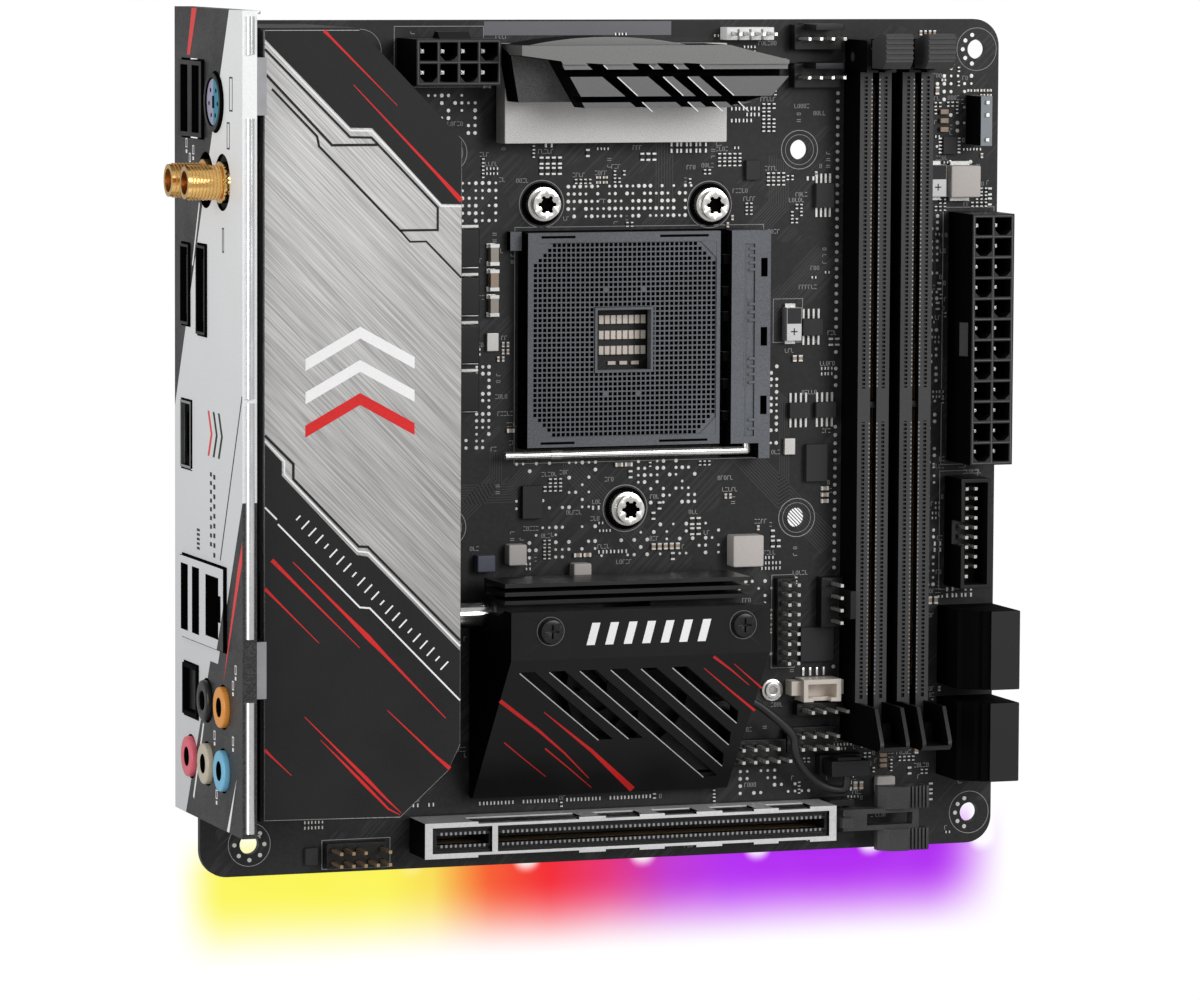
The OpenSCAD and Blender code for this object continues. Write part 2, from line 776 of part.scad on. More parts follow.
// A socket of nx by ny cells whose outer corner is at the given spot
module power_socket(corner, nx, ny) {
    w = nx * cell + socket_rim;
    d = ny * cell + socket_rim;
    difference() {
        box([corner[0], corner[0] + w], [corner[1], corner[1] + d], [0, power_socket_h]);
        for (i = [0:nx - 1], j = [0:ny - 1]) {
            spot = corner + (socket_rim / 2 + cell / 2) * [1, 1] + cell * [i, j];
            translate([spot[0], spot[1], 2.5])
                linear_extrude(through)
                    cell_outline((i + j) % 2 == 0);
            posts([spot], power_pin_w + 0.06, [-1, 4]);
        }
    }
}

module cell_outline(keyed) {
    h = cell_hole / 2;
    c = keyed ? 1 : 0.1;
    polygon([[-h, h], [h, h], [h, c - h], [h - c, -h], [c - h, -h], [-h, c - h]]);
}

module atx_power_socket()
    color("#1a1a1c") {
        power_socket(atx_corner, 2, 12);
        along_y([[159.4, 6], [158, 7.4], [158, 9.4], [159.4, 11]], [101.6, 108.6]);
    }

module cpu_power_socket()
    color("#1a1a1c") {
        power_socket(eps_corner, 4, 2);
        along_x([[166.4, 6], [167.9, 7.4], [167.9, 9.4], [166.4, 11]], [46, 52.6]);
    }

module power_pins()
    color("#d8c48a") {
        posts(power_pin_spots, power_pin_w, [-3.6, 6.5]);
        posts(power_pin_spots, power_pin_w * 0.6, [6.5, 7.6]);
    }

// ---- Pin headers and small sockets ----

module header_pins()
    color("#d0c6a8") {
        posts(tall_pins, pin_w, [pin_tail, pin_top]);
        posts(short_pins, pin_w, [pin_tail, 6.5]);
    }

// The plastic strip of a header, sized from its pins
module strip(pins, nx, ny, step, h) {
    first = pins[0];
    half = step / 2;
    difference() {
        box([first[0] - half, first[0] + (nx - 0.5) * step],
            [first[1] - half, first[1] + (ny - 0.5) * step], [0, h]);
        posts(pins, pin_w + 0.04, [-1, h + 1]);
    }
}

module fan_base(pins, nx, ny, side_x, side_y, tab_x, tab_y) {
    h = 3;
    difference() {
        union() {
            box(side_x, side_y, [0, h]);
            box(tab_x, tab_y, [0, 9.6]);
        }
        posts(pins, pin_w + 0.04, [-1, h + 1]);
    }
}

module pin_headers()
    color("#1d1d1f") {
        fan_base(fan_1_pins, 4, 1, [124, 134.2], [163.9, 169], [126, 132.2], [168, 169.2]);
        fan_base(fan_2_pins, 4, 1, [124, 134.2], [156.2, 161.2], [126, 132.2], [160.2, 161.4]);
        fan_base(fan_3_pins, 1, 4, [130.8, 135.6], [46.2, 56.4], [134.6, 135.8], [48.4, 54.2]);
        strip(row_pins, 4, 1, pitch, 2.5);
        strip(panel_pins, 4, 2, pitch, 2.5);
        strip(usb2_pins, 5, 2, pitch, 2.5);
        strip(audio_pins, 5, 2, pitch, 2.5);
        strip(tpm_pins, 2, 9, fine_pitch, 2);
        box([130.8, 140.4], [15.6, 19.9], [0, 3]);
    }

module led_headers() {
    color("#e6e7e9")
        difference() {
            strip(rgb_pins, 4, 1, pitch, 4);
            for (i = [0:2])
                box(around(rgb_pins[i][0] + pitch / 2, 0.25), [160, 168.1], [1, 5]);
        }
    color("#a9b8c4")
        strip(argb_pins, 1, 4, pitch, 7.8);
}

module uart_header() {
    pins_x = [128, 129.5, 131, 132.5];
    color("#e3d9cd")
        difference() {
            union() {
                box([126.2, 134.4], [31.2, 35.8], [0, 5.4]);
                box([124.2, 135.6], [32.4, 35.4], [0, 3.6]);
            }
            box([127.2, 133.4], [32, 34.8], [1.4, 6]);
            box([128.4, 132.2], [30, 33], [3.4, 6]);
        }
    color("#cfd0d2")
        for (x = pins_x)
            box(around(x, 0.25), [36, 37.8], [0, 0.4]);
}

module usb3_header() {
    x = [159, 165.6];
    y = [53.8, 76.4];
    color("#17181a")
        difference() {
            box(x, y, [0, 9]);
            box([x[0] + 0.8, x[1] - 0.8], [y[0] + 0.8, y[1] - 0.8], [2, 10]);
            box([x[0] - 1, x[0] + 1], [62.6, 67.6], [4, 10]);
            posts(usb3_pins, pin_w + 0.04, [-1, 3]);
        }
}

// Two stacked drive ports side by side in one housing, opening over the front edge
module sata_block(y0) {
    front = 169.8;
    w = 16.2;
    profile = [[157.6, 0], [front, 0], [front, 15], [163.4, 15], [163.4, 14.2], [161.8, 14.2],
        [161.8, 13.2], [160.6, 13.2], [158.6, 11], [157.6, 11]];
    difference() {
        along_y(profile, [y0, y0 + w]);
        for (z = [[1.8, 6.2], [8.8, 13.2]]) {
            difference() {
                box([163.6, front + 1], [y0 + 1.4, y0 + w - 1.4], z);
                box([162, front - 1], [y0 + 3, y0 + w - 3.4], [z[0] + 1.4, z[0] + 2.6]);
                box([162, front - 1], [y0 + 3, y0 + 4.2], [z[0] + 1.4, z[0] + 4]);
            }
        }
    }
}

module sata_ports()
    color("#28292b") {
        sata_block(33.5);
        sata_block(14.6);
    }

// ---- Expansion slot ----

module pcie_slot() {
    body_y = [4.2, 9.8];
    cheek_h = 5.6;
    color("#161618")
        difference() {
            union() {
                box([slot_x[0] + 0.6, slot_x[1] - 0.6], body_y, [0, slot_shell_h - 0.8]);
                box([130, 137.4], [3.2, 10.8], [0, 0.9]);
                for (y = [[3.2, 4.4], [9.6, 10.8]])
                    box([132, 137.4], y, [0, cheek_h]);
                for (x = slot_notches)
                    box([x[0] + 0.5, x[1] - 0.5], [3.6, 10.4], [5.6, slot_shell_h - 1]);
            }
            box([46, 57], around(slot_mid_y, 0.95), [2, 20]);
            box([59, 129], around(slot_mid_y, 0.95), [2, 20]);
            for (s = [-1, 1], x = [[46.1, 56.9], [59.1, 128.9]])
                box(x, around(slot_mid_y + s * 1.1, 0.17), [3, 8]);
            for (s = [-1, 1])
                box([46, 129], around(slot_mid_y + s * 1.75, 0.3), [slot_shell_h - 1.3, 20]);
            rod_y([0, 20], slot_latch_pivot, 0.9 + running_gap);
        }
}

module pcie_slot_shell() {
    rim = 1;
    color("#b4b5b7")
        difference() {
            box(slot_x, slot_y, [1, slot_shell_h]);
            box([slot_x[0] + 0.5, slot_x[1] - 0.5], [slot_y[0] + 0.5, slot_y[1] - 0.5],
                [0, slot_shell_h - 0.6]);
            box([slot_x[0] + 1.6, 57.4], [slot_y[0] + rim, slot_y[1] - rim], [0, 20]);
            box([58.6, slot_x[1] - 1.6], [slot_y[0] + rim, slot_y[1] - rim], [0, 20]);
            for (x = slot_notches)
                box(x, [0, 20], [5, slot_shell_h - 1]);
            for (x = slot_notches, y = [[slot_y[0] - 1, slot_y[0] + 0.45], [slot_y[1] - 0.45, 20]])
                box([x[0] + 0.8, x[1] - 0.8], y, [5, 20]);
        }
}

module pcie_latch() {
    hub_y = [4.8, 9.2];
    rail_z = [5.6, 8.6];
    end_x = 150.4;
    color("#2e2f32") {
        rod_y([3.3, 10.7], slot_latch_pivot, 0.9);
        rod_y(hub_y, slot_latch_pivot, 2);
        along_y([[133.2, 3.4], [137, 3.2], [139, 5.6], [139, 8.6], [133.8, 8.6]], hub_y);
        box([132.2, 134.6], around(slot_mid_y, 1), [8, 12.4]);
        for (y = [[4.8, 5.8], [8.2, 9.2]])
            box([138.5, end_x], y, rail_z);
        box([end_x - 1.4, end_x], hub_y, rail_z);
        for (y = [[0.4, 4.9], [9.1, 13.6]]) {
            along_y([[141.8, 5.6], [147.6, 5.6], [147.6, 10], [143.6, 9.6], [141.8, 7.4]], y);
            box([147.4, 152.6], y, [5.6, 8.8]);
            for (i = [0:5])
                box([147.8 + i * 0.8, 148.2 + i * 0.8], y, [8.7, 9.4]);
        }
    }
}

// ---- Storage socket under the board ----

module m2_socket() {
    z = [-4, -board_t];
    color("#1b1b1d")
        difference() {
            box([37.4, 42.6], [22.4, 44.4], z);
            box([39, 44], [23.6, 43.2], [-3.5, -2.5]);
        }
}

module m2_standoff()
    color("#cdced0")
        difference() {
            union() {
                rod_z([0, 0.6], standoff_spot, 2.3);
                rod_z([0.6, 1.2], standoff_spot, 1.7);
                rod_z([-4, 0.1], standoff_spot, 1.75);
            }
            rod_z([-5, 2], standoff_spot, 0.8);
        }

// ---- Rear ports ----

module antenna_jacks()
    color("#d9a441")
        for (p = antenna_spots) {
            difference() {
                union() {
                    rod_x([-jack_reach, 2], p, antenna_r);
                    rod_x([-4.6, -3], p, 4);
                }
                rod_x([-jack_reach - 1, -6], p, 2.3);
            }
            rod_x([-10.6, -5.9], p, 0.55);
            translate([1, p[0], p[1]])
                rotate([0, 90, 0])
                    cylinder(h = 2.4, r = 4.4, $fn = 6);
            rod_x([0.9, 8], p, 2.2);
        }

module antenna_bracket()
    color("#8e9196")
        difference() {
            union() {
                box([-0.9, 0.9], [133.6, 145.4], [12.6, 35.4]);
                box([0.8, 9.4], [133.6, 135], [12.6, 20]);
            }
            for (p = antenna_spots)
                rod_x([-3, 3], p, antenna_r + 0.05);
        }

module wifi_module()
    color("#9fa3a8") {
        box([2, 25], [131.5, 146], [0, 1.4]);
        box([3, 24], [132.5, 145], [1.4, 11.6]);
    }

// A shielded stack with two wide sockets, one above the other
module usb_pair(y, back_x) {
    mid = (y[0] + y[1]) / 2;
    difference() {
        box([-4.6, back_x], y, [0.9, 17]);
        for (z = usb_rows)
            box([-6, 9], around(mid, usb_w / 2), z);
    }
}

module usb_ps2_stack()
    color("#a6a8ac")
        difference() {
            union() {
                usb_pair(stack_1_y, 13);
                box([-3, 12], [148, 161.6], [17 - tiny, 31.6]);
                rod_x([-4.6, -2], ps2_spot, 5.7);
            }
            rod_x([-6, 3], ps2_spot, 4.7);
        }

module lan_usb_stack()
    color("#a6a8ac")
        difference() {
            union() {
                usb_pair(stack_2_y, 14);
                box([-4.6, 17], stack_2_y, [17 - tiny, 32.2]);
            }
            box([-6, 8], lan_y, lan_z);
            box([-6, 8], [54.4, 59.6], [lan_z[1] - tiny, 30.6]);
        }

module display_ports()
    color("#2a2b2e")
        difference() {
            union() {
                box([-3, 13], [108.6, 127.4], [0, 20]);
                box([-4.4, -2], grown(hdmi_y, 0.6), grown(hdmi_z, 0.6));
                box([-4.4, -2], grown(dp_y, 0.6), grown(dp_z, 0.6));
            }
            box([-6, 7], hdmi_y, hdmi_z);
            box([-6, 7], dp_y, dp_z);
        }

module usb_c_port() {
    mid = [(usb_c_y[0] + usb_c_y[1]) / 2, (usb_c_z[0] + usb_c_z[1]) / 2];
    half_w = 4.5;
    half_h = 1.65;
    color("#b5b7bb")
        difference() {
            union() {
                box([-4.2, 7], usb_c_y, usb_c_z);
                box([-2, 7], usb_c_y, [0, 1]);
            }
            box([-6, -3.4], grown(usb_c_y, -0.5), grown(usb_c_z, -0.5));
            box([-6, 4.5], around(mid[0], half_w - half_h), around(mid[1], half_h));
            for (s = [-1, 1])
                rod_x([-6, 4.5], [mid[0] + s * (half_w - half_h), mid[1]], half_h);
        }
}

module port_tongues() {
    color("#1e5c8f")
        for (y = [stack_1_y, stack_2_y], z = usb_rows)
            box([-3.4, 9], around((y[0] + y[1]) / 2, 5.6), [z[1] - 2.6, z[1] - 0.8]);
    color("#222326") {
        box([-3.6, 7], grown(hdmi_y, -1.6), around(hdmi_z[0] + 2.4, 0.7));
        box([-3.6, 7], grown(dp_y, -2), around(dp_z[0] + 3, 0.8));
        box([-2.8, 4.5], around(89, 3.1), around(4.3, 0.35));
        box([-4, 3], around(ps2_spot[0], 2.6), around(ps2_spot[1], 1.2));
        box([-2, 8], grown(lan_y, -2), [lan_z[0] + 0.6, lan_z[0] + 1.8]);
    }
}

module optical_port()
    color("#202124")
        difference() {
            box([-4.4, 8], optical_y, optical_z);
            box([-5, 5.6], grown(optical_y, -0.8), grown(optical_z, -0.8));
        }

module optical_shutter() {
    y = grown(optical_y, -1.1);
    color("#303236") {
        box(around(shutter_hinge[0], 0.3), y, [optical_z[0] + 1.1, shutter_hinge[1]]);
        rod_y(y, shutter_hinge, 0.3);
    }
}

module audio_jack_block() {
    color("#1d1e20")
        difference() {
            union() {
                box([-3, 11], [19.4, 31.6], [1.4, 35.4]);
                box([-3, 11], [31.9, 44.2], [13.4, 35.4]);
            }
            for (p = jack_spots)
                rod_x([-4, 12], p, jack_r);
        }
}

module audio_jack_rings()
    color("#888888")
        for (p = jack_spots)
            difference() {
                rod_x([-5, -3], p, jack_ring_r);
                rod_x([-6, -2], p, jack_r);
            }

// ---- Board-mounted components ----

// Low corner and size of each part
module parts_at(list)
    for (q = list)
        translate([q[0], q[1], 0])
            cube([q[2], q[3], q[4]]);

module power_inductors()
    color("#b3aca3")
        parts_at(concat([[63.5, 60.8, 3.8, 4.2, 3], [77.3, 57, 3.8, 3.8, 3],
            [111.2, 59.2, 6.6, 6.4, 4], [158.2, 133.7, 6.5, 6.5, 4], [57, 59.6, 3.8, 3.4, 2.6],
            [143.9, 11.2, 4, 3.6, 1.9]], [for (i = [0:3]) [48, 92.3 + i * 9.6, 8, 7.6, 6.5]]));

module capacitors()
    color("#b9a88f")
        parts_at([[122.9, 104.9, 3.2, 6.8, 2.8], [153.9, 133.8, 3.7, 6.6, 2.8],
            [59.9, 121.4, 1.7, 3.6, 1.6], [59.9, 116.3, 1.7, 3.6, 1.6], [59.9, 111.2, 1.7, 3.6, 1.6],
            [59.4, 103.9, 2.4, 3.6, 1], [123.3, 81.6, 2.3, 3.3, 1],
            [144.9, 16.5, 1.6, 0.8, 0.8], [144.9, 17.6, 1.6, 0.8, 0.8],
            [144.9, 18.7, 1.6, 0.8, 0.8], [156.9, 150.6, 1.8, 1, 1], [156.9, 148.8, 1.8, 1, 1],
            [156.9, 147, 1.8, 1, 1]]);

module ic_packages()
    color("#2d2e30") {
        parts_at([[126.9, 105.8, 4.4, 3.5, 1.5], [66.9, 70, 4.2, 6.6, 1.4], [127.9, 76, 4.6, 7.6, 1.5],
            [129.6, 131.8, 3.9, 5, 1.5], [127.2, 39, 7.2, 7, 1],
            [124.2, 89, 4.5, 3.2, 1.4], [130, 89, 4.4, 3.2, 1.4], [114.5, 137.6, 3, 4, 1.2],
            [157.6, 142.4, 3.2, 3.6, 0.9], [21.6, 1.8, 2.6, 3.4, 0.9]]);
        for (x = [62.6:5.8:102], y = [147, 156.4])
            translate([x, y, 0])
                cube([4.8, 5, vrm_pad_z[0]]);
    }

module underglow_leds()
    color("#f4f1ea")
        for (i = [0:6])
            box(around(20 + i * 22, 2.5), [0.8, 5.4], [-board_t - 1.3, -board_t]);

// ---- One line per node, moved to the row's origin ----

module place()
    translate([-centre_x, -centre_y, under_reach])
        children();

place() pcb();
place() io_shield();
place() shield_springs();
place() io_cover();
place() io_cover_plate();
place() io_cover_screws();
place() vrm_heatsink();
place() vrm_heatsink_base();
place() vrm_thermal_pads();
place() heat_pipe();
place() io_heat_block();
place() chipset_heatsink();
place() chipset_cover();
place() chipset_cover_screws();
place() chipset_fan_frame();
place() chipset_fan_rotor();
place() fan_cable();
place() fan_cable_plug();
place() chipset_ic();
place() header_pins();
place() cpu_socket_base();
place() cpu_socket_plate();
place() cpu_socket_lever();
place() socket_capacitors();
place() cpu_backplate();
place() backplate_screws();
place() dimm_slot_1();
place() dimm_slot_2();
place() dimm_latch_1();
place() dimm_latch_2();
place() slot_contacts();
place() atx_power_socket();
place() cpu_power_socket();
place() power_pins();
place() usb3_header();
place() sata_ports();
place() pcie_slot();
place() pcie_slot_shell();
place() pcie_latch();
place() led_headers();
place() uart_header();
place() pin_headers();
place() m2_socket();
place() m2_standoff();
place() antenna_jacks();
place() antenna_bracket();
place() wifi_module();
place() usb_ps2_stack();
place() lan_usb_stack();
place() display_ports();
place() usb_c_port();
place() port_tongues();
place() optical_port();
place() optical_shutter();
place() audio_jack_block();
place() audio_jack_rings();
place() power_inductors();
place() capacitors();
place() ic_packages();
place() underglow_leds();
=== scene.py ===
"""Looks for the computer motherboard: materials, printed artwork, small parts, lights and camera.

Every position is in board millimetres: x from the port edge to the front edge, y along the
port edge, z up from the component side. place() turns them into the frame's metres.
"""
import math
import random

import bmesh
import bpy
from mathutils import Matrix, Vector
from mathutils.bvhtree import BVHTree


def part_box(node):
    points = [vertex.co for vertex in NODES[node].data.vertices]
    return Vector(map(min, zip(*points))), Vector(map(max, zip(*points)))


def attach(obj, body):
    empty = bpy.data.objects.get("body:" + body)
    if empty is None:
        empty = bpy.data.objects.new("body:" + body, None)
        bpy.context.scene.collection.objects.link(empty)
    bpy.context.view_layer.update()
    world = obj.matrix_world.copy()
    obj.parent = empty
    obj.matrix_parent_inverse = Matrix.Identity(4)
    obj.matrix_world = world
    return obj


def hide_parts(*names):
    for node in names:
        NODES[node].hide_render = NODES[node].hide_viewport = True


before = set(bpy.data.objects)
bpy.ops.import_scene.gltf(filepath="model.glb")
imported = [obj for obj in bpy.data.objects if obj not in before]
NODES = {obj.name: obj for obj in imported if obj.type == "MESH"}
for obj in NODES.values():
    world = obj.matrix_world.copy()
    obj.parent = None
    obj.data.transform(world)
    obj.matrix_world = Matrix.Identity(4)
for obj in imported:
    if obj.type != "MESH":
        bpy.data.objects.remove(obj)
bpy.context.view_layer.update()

MM = 0.001
board_low, board_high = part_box("pcb")
BOARD_ORIGIN = Vector((board_low[0], board_low[1], board_high[2]))
BOARD_SIDE = (board_high[0] - board_low[0]) / MM
SOCKET_SCREWS = [(71.1, 133.2), (107, 132.7), (89.2, 71.5)]

# x of the port panel's outer face
PANEL_FACE = -3.9

# Thickness of a printed coat, and the levels between which the board's own print lies
INK = 0.03
PRINT_LEVEL = (0.005, 0.02)


def place(x, y, z):
    """A point in board millimetres, in the frame's metres."""
    return BOARD_ORIGIN + Vector((x, y, z)) * MM


def to_board(point):
    """A point in the frame's metres, in board millimetres."""
    return (Vector(point) - BOARD_ORIGIN) / MM


def add_object(name, data):
    """Puts a mesh, curve, light or camera in the scene."""
    made = bpy.data.objects.new(name, data)
    bpy.context.scene.collection.objects.link(made)
    return made


# ---------------------------------------------------------------- camera

# The camera stands 1.23 m over the board and looks down on it from the port side
EYE = (-352.35, 194.76, 1232.93)
EYE_RIGHT = Vector((0.942886, 0.005005, 0.333078))
EYE_UP = Vector((0.026104, 0.995702, -0.088859))
EYE_BACK = Vector((-0.332091, 0.092479, 0.938703))
LENS_MM = 195.25


def add_camera():
    """A long lens, so that the board shows little perspective."""
    data = bpy.data.cameras.new("camera")
    data.lens = LENS_MM
    data.sensor_width = 36
    data.sensor_fit = "HORIZONTAL"
    data.clip_start = 0.05
    data.clip_end = 20
    camera = add_object("camera", data)
    turn = Matrix((EYE_RIGHT, EYE_UP, EYE_BACK)).transposed().to_4x4()
    camera.matrix_world = Matrix.Translation(place(*EYE)) @ turn
    bpy.context.scene.camera = camera


add_camera()


# ---------------------------------------------------------------- materials


def shaded(rgb, k):
    return tuple(min(1, c * k) for c in rgb)


class Finish:
    """One procedural material, built round a Principled shader."""

    def __init__(self, name):
        self.material = bpy.data.materials.new(name)
        self.material.use_nodes = True
        self.tree = self.material.node_tree
        self.tree.nodes.clear()
        self.shader = self.node("ShaderNodeBsdfPrincipled")
        output = self.node("ShaderNodeOutputMaterial")
        self.link(self.shader.outputs[0], output.inputs[0])
        self.coords = self.node("ShaderNodeTexCoord").outputs["Object"]

    def node(self, kind, **values):
        made = self.tree.nodes.new(kind)
        for key, value in values.items():
            setattr(made, key, value)
        return made

    def link(self, source, target):
        self.tree.links.new(source, target)

    def noise(self, size_mm, stretch=(1, 1, 1), turn=0, detail=3):
        """Noise whose grain is size_mm across, stretched and turned about z."""
        mapping = self.node("ShaderNodeMapping")
        mapping.inputs["Rotation"].default_value = (0, 0, math.radians(turn))
        self.link(self.coords, mapping.inputs["Vector"])
        squeeze = self.node("ShaderNodeMapping")
        squeeze.inputs["Scale"].default_value = stretch
        self.link(mapping.outputs[0], squeeze.inputs["Vector"])
        noise = self.node("ShaderNodeTexNoise")
        noise.inputs["Scale"].default_value = 1 / (size_mm * MM)
        noise.inputs["Detail"].default_value = detail
        self.link(squeeze.outputs[0], noise.inputs["Vector"])
        return noise.outputs[0]

    def fill(self, target, value):
        """Links a socket to an input, or sets the input to a number or a colour."""
        if hasattr(value, "links"):
            self.link(value, target)
        elif hasattr(value, "__len__"):
            target.default_value = (*value, 1)
        else:
            target.default_value = value

    def put(self, **values):
        """Fills the shader's own inputs, named with _ for a space."""
        for key, value in values.items():
            self.fill(self.shader.inputs[key.replace("_", " ")], value)

    def emboss(self, height, strength, depth_mm):
        """Fine relief on the surface."""
        relief = self.node("ShaderNodeBump")
        self.fill(relief.inputs["Strength"], strength)
        self.fill(relief.inputs["Distance"], depth_mm * MM)
        self.link(height, relief.inputs["Height"])
        self.put(Normal=relief.outputs[0])

    def spread(self, value, low, high, start=0.3, end=0.7, smooth=False):
        """Maps a value's range from start to end onto low to high."""
        node = self.node("ShaderNodeMapRange", interpolation_type="SMOOTHSTEP" if smooth else "LINEAR")
        for key, number in (("From Min", start), ("From Max", end), ("To Min", low), ("To Max", high)):
            node.inputs[key].default_value = number
        self.link(value, node.inputs["Value"])
        return node.outputs[0]

    def mix(self, factor, a, b):
        """A colour between a and b, each a colour or a socket."""
        node = self.node("ShaderNodeMix", data_type="RGBA")

        # Inputs 6 and 7 and output 2 are this node's colour sockets
        self.link(factor, node.inputs["Factor"])
        self.fill(node.inputs[6], a)
        self.fill(node.inputs[7], b)
        return node.outputs[2]

    def math(self, operation, a, b=0.0):
        node = self.node("ShaderNodeMath", operation=operation)
        self.fill(node.inputs[0], a)
        self.fill(node.inputs[1], b)
        return node.outputs[0]

    def times(self, first, *others):
        """The product of sockets and numbers."""
        for other in others:
            first = self.math("MULTIPLY", first, other)
        return first

    def board_axes(self):
        """x, y and z sockets in board millimetres."""
        split = self.node("ShaderNodeSeparateXYZ")
        self.link(self.coords, split.inputs[0])
        return [
            self.math("DIVIDE", self.math("SUBTRACT", split.outputs[i], BOARD_ORIGIN[i]), MM)
            for i in range(3)
        ]

    def above(self, across, along, start, end):
        """1 where along lies above the line from start to end drawn over across."""
        slope = (end[1] - start[1]) / (end[0] - start[0])
        line = self.math("ADD", self.times(across, slope), start[1] - slope * start[0])
        return self.math("GREATER_THAN", along, line)


# Width of the broad patches, and how far they move the roughness each way
SMUDGE_MM = 14
SMUDGE = 0.08


def grained_finish(name, colour, rough=0.5, metal=0.0, grain=0.3, vary=0.15, bump=0.1, shine=0.5):
    """A finish with fine grain in its colour and relief, and broad changes in its gloss."""
    made = Finish(name)
    fine = made.noise(grain)
    broad = made.noise(SMUDGE_MM, detail=4)
    tone = made.spread(fine, 0, 1)
    base = made.mix(tone, shaded(colour, 1 - vary), shaded(colour, 1 + vary))
    cloud = made.spread(broad, 0, 1, 0.35, 0.65)
    base = made.mix(cloud, base, made.mix(tone, shaded(colour, 1), shaded(colour, 1 + 1.6 * vary)))
    gloss = made.spread(broad, max(0.05, rough - SMUDGE), min(1, rough + SMUDGE))
    made.put(Base_Color=base, Roughness=gloss, Metallic=metal, Specular_IOR_Level=shine)
    made.emboss(fine, bump, 0.05)
    return made


def plain(*args, **values):
    """The material of a grained finish."""
    return grained_finish(*args, **values).material


def board_finish():
    """Near-black solder mask over faint copper: fine lines one way, broad pours under them."""
    colour = (0.014, 0.014, 0.015)
    made = grained_finish("board_mask", colour, rough=0.45, grain=0.9, vary=0.3, bump=0.05, shine=0.3)
    lines = made.noise(0.5, (1, 0.02, 1), 45, 0)
    faint = made.spread(lines, 0, 1, 0.52, 0.6)
    pours = made.spread(made.noise(9, (1, 1, 1), 20, 1), 0, 1, 0.5, 0.54)
    mask = made.shader.inputs["Base Color"].links[0].from_socket
    made.put(Base_Color=made.mix(made.times(faint, pours), mask, (0.030, 0.030, 0.031)))
    return made.material


def brushed_finish():
    """Brushed aluminium, its scratches running down to the front edge at 45 degrees, with painted light:
    the streaks pass from a darker to a lighter pair of greys towards high y and low x.
    """
    made = Finish("brushed_plate")
    wide = made.noise(2.2, (0.04, 1, 1), 45, 4)
    fine = made.noise(0.32, (0.02, 1, 1), 45, 3)
    x, y, _ = made.board_axes()
    streak = made.math("ADD", made.times(wide, 0.25), made.times(fine, 0.75))
    streak = made.spread(streak, 0, 1, 0.38, 0.62)
    # Painted light: a ramp from the darker to the lighter greys across the plate
    painted_light_ramp = made.spread(made.math("SUBTRACT", y, x), 0, 1, 0, 140)
    dull = made.mix(streak, (0.22, 0.215, 0.21), (0.42, 0.415, 0.41))
    fair = made.mix(streak, (0.40, 0.395, 0.39), (0.68, 0.675, 0.67))
    made.put(Base_Color=made.mix(painted_light_ramp, dull, fair), Metallic=0.35)
    made.put(Roughness=made.spread(fine, 0.36, 0.55))
    made.emboss(fine, 0.2, 0.03)
    return made.material


def panel_finish():
    """The port panel's coat: pale silver, with charcoal printed past two slanting lines."""
    paint = (0.60, 0.605, 0.615)
    made = grained_finish("panel_paint", paint, rough=0.45, metal=0.1, grain=0.4, vary=0.05, bump=0.05)
    _, y, z = made.board_axes()
    silver = made.mix(made.spread(y, 0, 1, 0, 170), (0.60, 0.62, 0.64), (0.93, 0.94, 0.94))
    speck = made.spread(made.noise(0.4), 0, 0.12)
    upper = made.math("SUBTRACT", 1.0, made.above(y, z, (95.6, -3.4), (172.1, 33.8)))
    wide = made.above(y, z, (61.3, 34.2), (78.4, 43.0))
    narrow = made.above(y, z, (15.0, 4.1), (42.3, 19.0))
    near = made.math("LESS_THAN", y, 46)
    low = made.math("MAXIMUM", made.times(near, narrow), made.math("SUBTRACT", wide, near))
    ink = made.math("MAXIMUM", made.times(upper, made.math("GREATER_THAN", y, 80)), low)
    speckle = made.spread(made.noise(0.35, detail=2), 0, 1, 0.4, 0.65)
    charcoal = made.mix(speckle, (0.010, 0.010, 0.011), (0.042, 0.042, 0.044))
    silver = made.mix(speck, silver, (0.3, 0.3, 0.3))
    made.put(Base_Color=made.mix(ink, silver, charcoal))
    return made.material


# Position along the lower edge in millimetres, and the colour of the light there
GLOW = [
    (0, (0.98, 0.96, 0.33)),
    (40, (0.98, 0.95, 0.33)),
    (50, (0.97, 0.85, 0.30)),
    (62, (0.96, 0.35, 0.18)),
    (75, (0.95, 0.14, 0.18)),
    (88, (0.89, 0.20, 0.48)),
    (101, (0.74, 0.20, 0.82)),
    (114, (0.68, 0.15, 0.94)),
    (170, (0.66, 0.14, 0.94)),
]

# How far the light spreads past the edge, and the place and spacing of the brightest lamps
GLOW_REACH = 20.5
FIRST_LAMP = 70
LAMP_GAP = 25


def glow_ramp(made, x):
    """The light's colour at each place along the lower edge, as it should look on screen."""
    ramp = made.node("ShaderNodeValToRGB")
    stops = ramp.color_ramp.elements
    stops[0].color = (*GLOW[0][1], 1)
    stops[1].color = (*GLOW[-1][1], 1)
    for spot, colour in GLOW[1:-1]:
        stops.new(spot / BOARD_SIDE).color = (*colour, 1)
    made.link(made.math("DIVIDE", x, BOARD_SIDE), ramp.inputs[0])
    return ramp.outputs[0]


def shine_through(made, screen_colour, strength):
    """Makes the surface give off a colour that was mixed as it should look on screen."""
    gamma = made.node("ShaderNodeGamma")
    made.fill(gamma.inputs["Gamma"], 2.2)
    made.link(screen_colour, gamma.inputs["Color"])
    made.put(Emission_Color=gamma.outputs[0], Emission_Strength=strength)


def glow_finish():
    """The light strip's lenses: yellow, red, magenta and violet along the edge."""
    made = grained_finish("strip_lens", (0.9, 0.88, 0.85), rough=0.3, vary=0.05, bump=0.02)
    shine_through(made, glow_ramp(made, made.board_axes()[0]), 3)
    return made.material


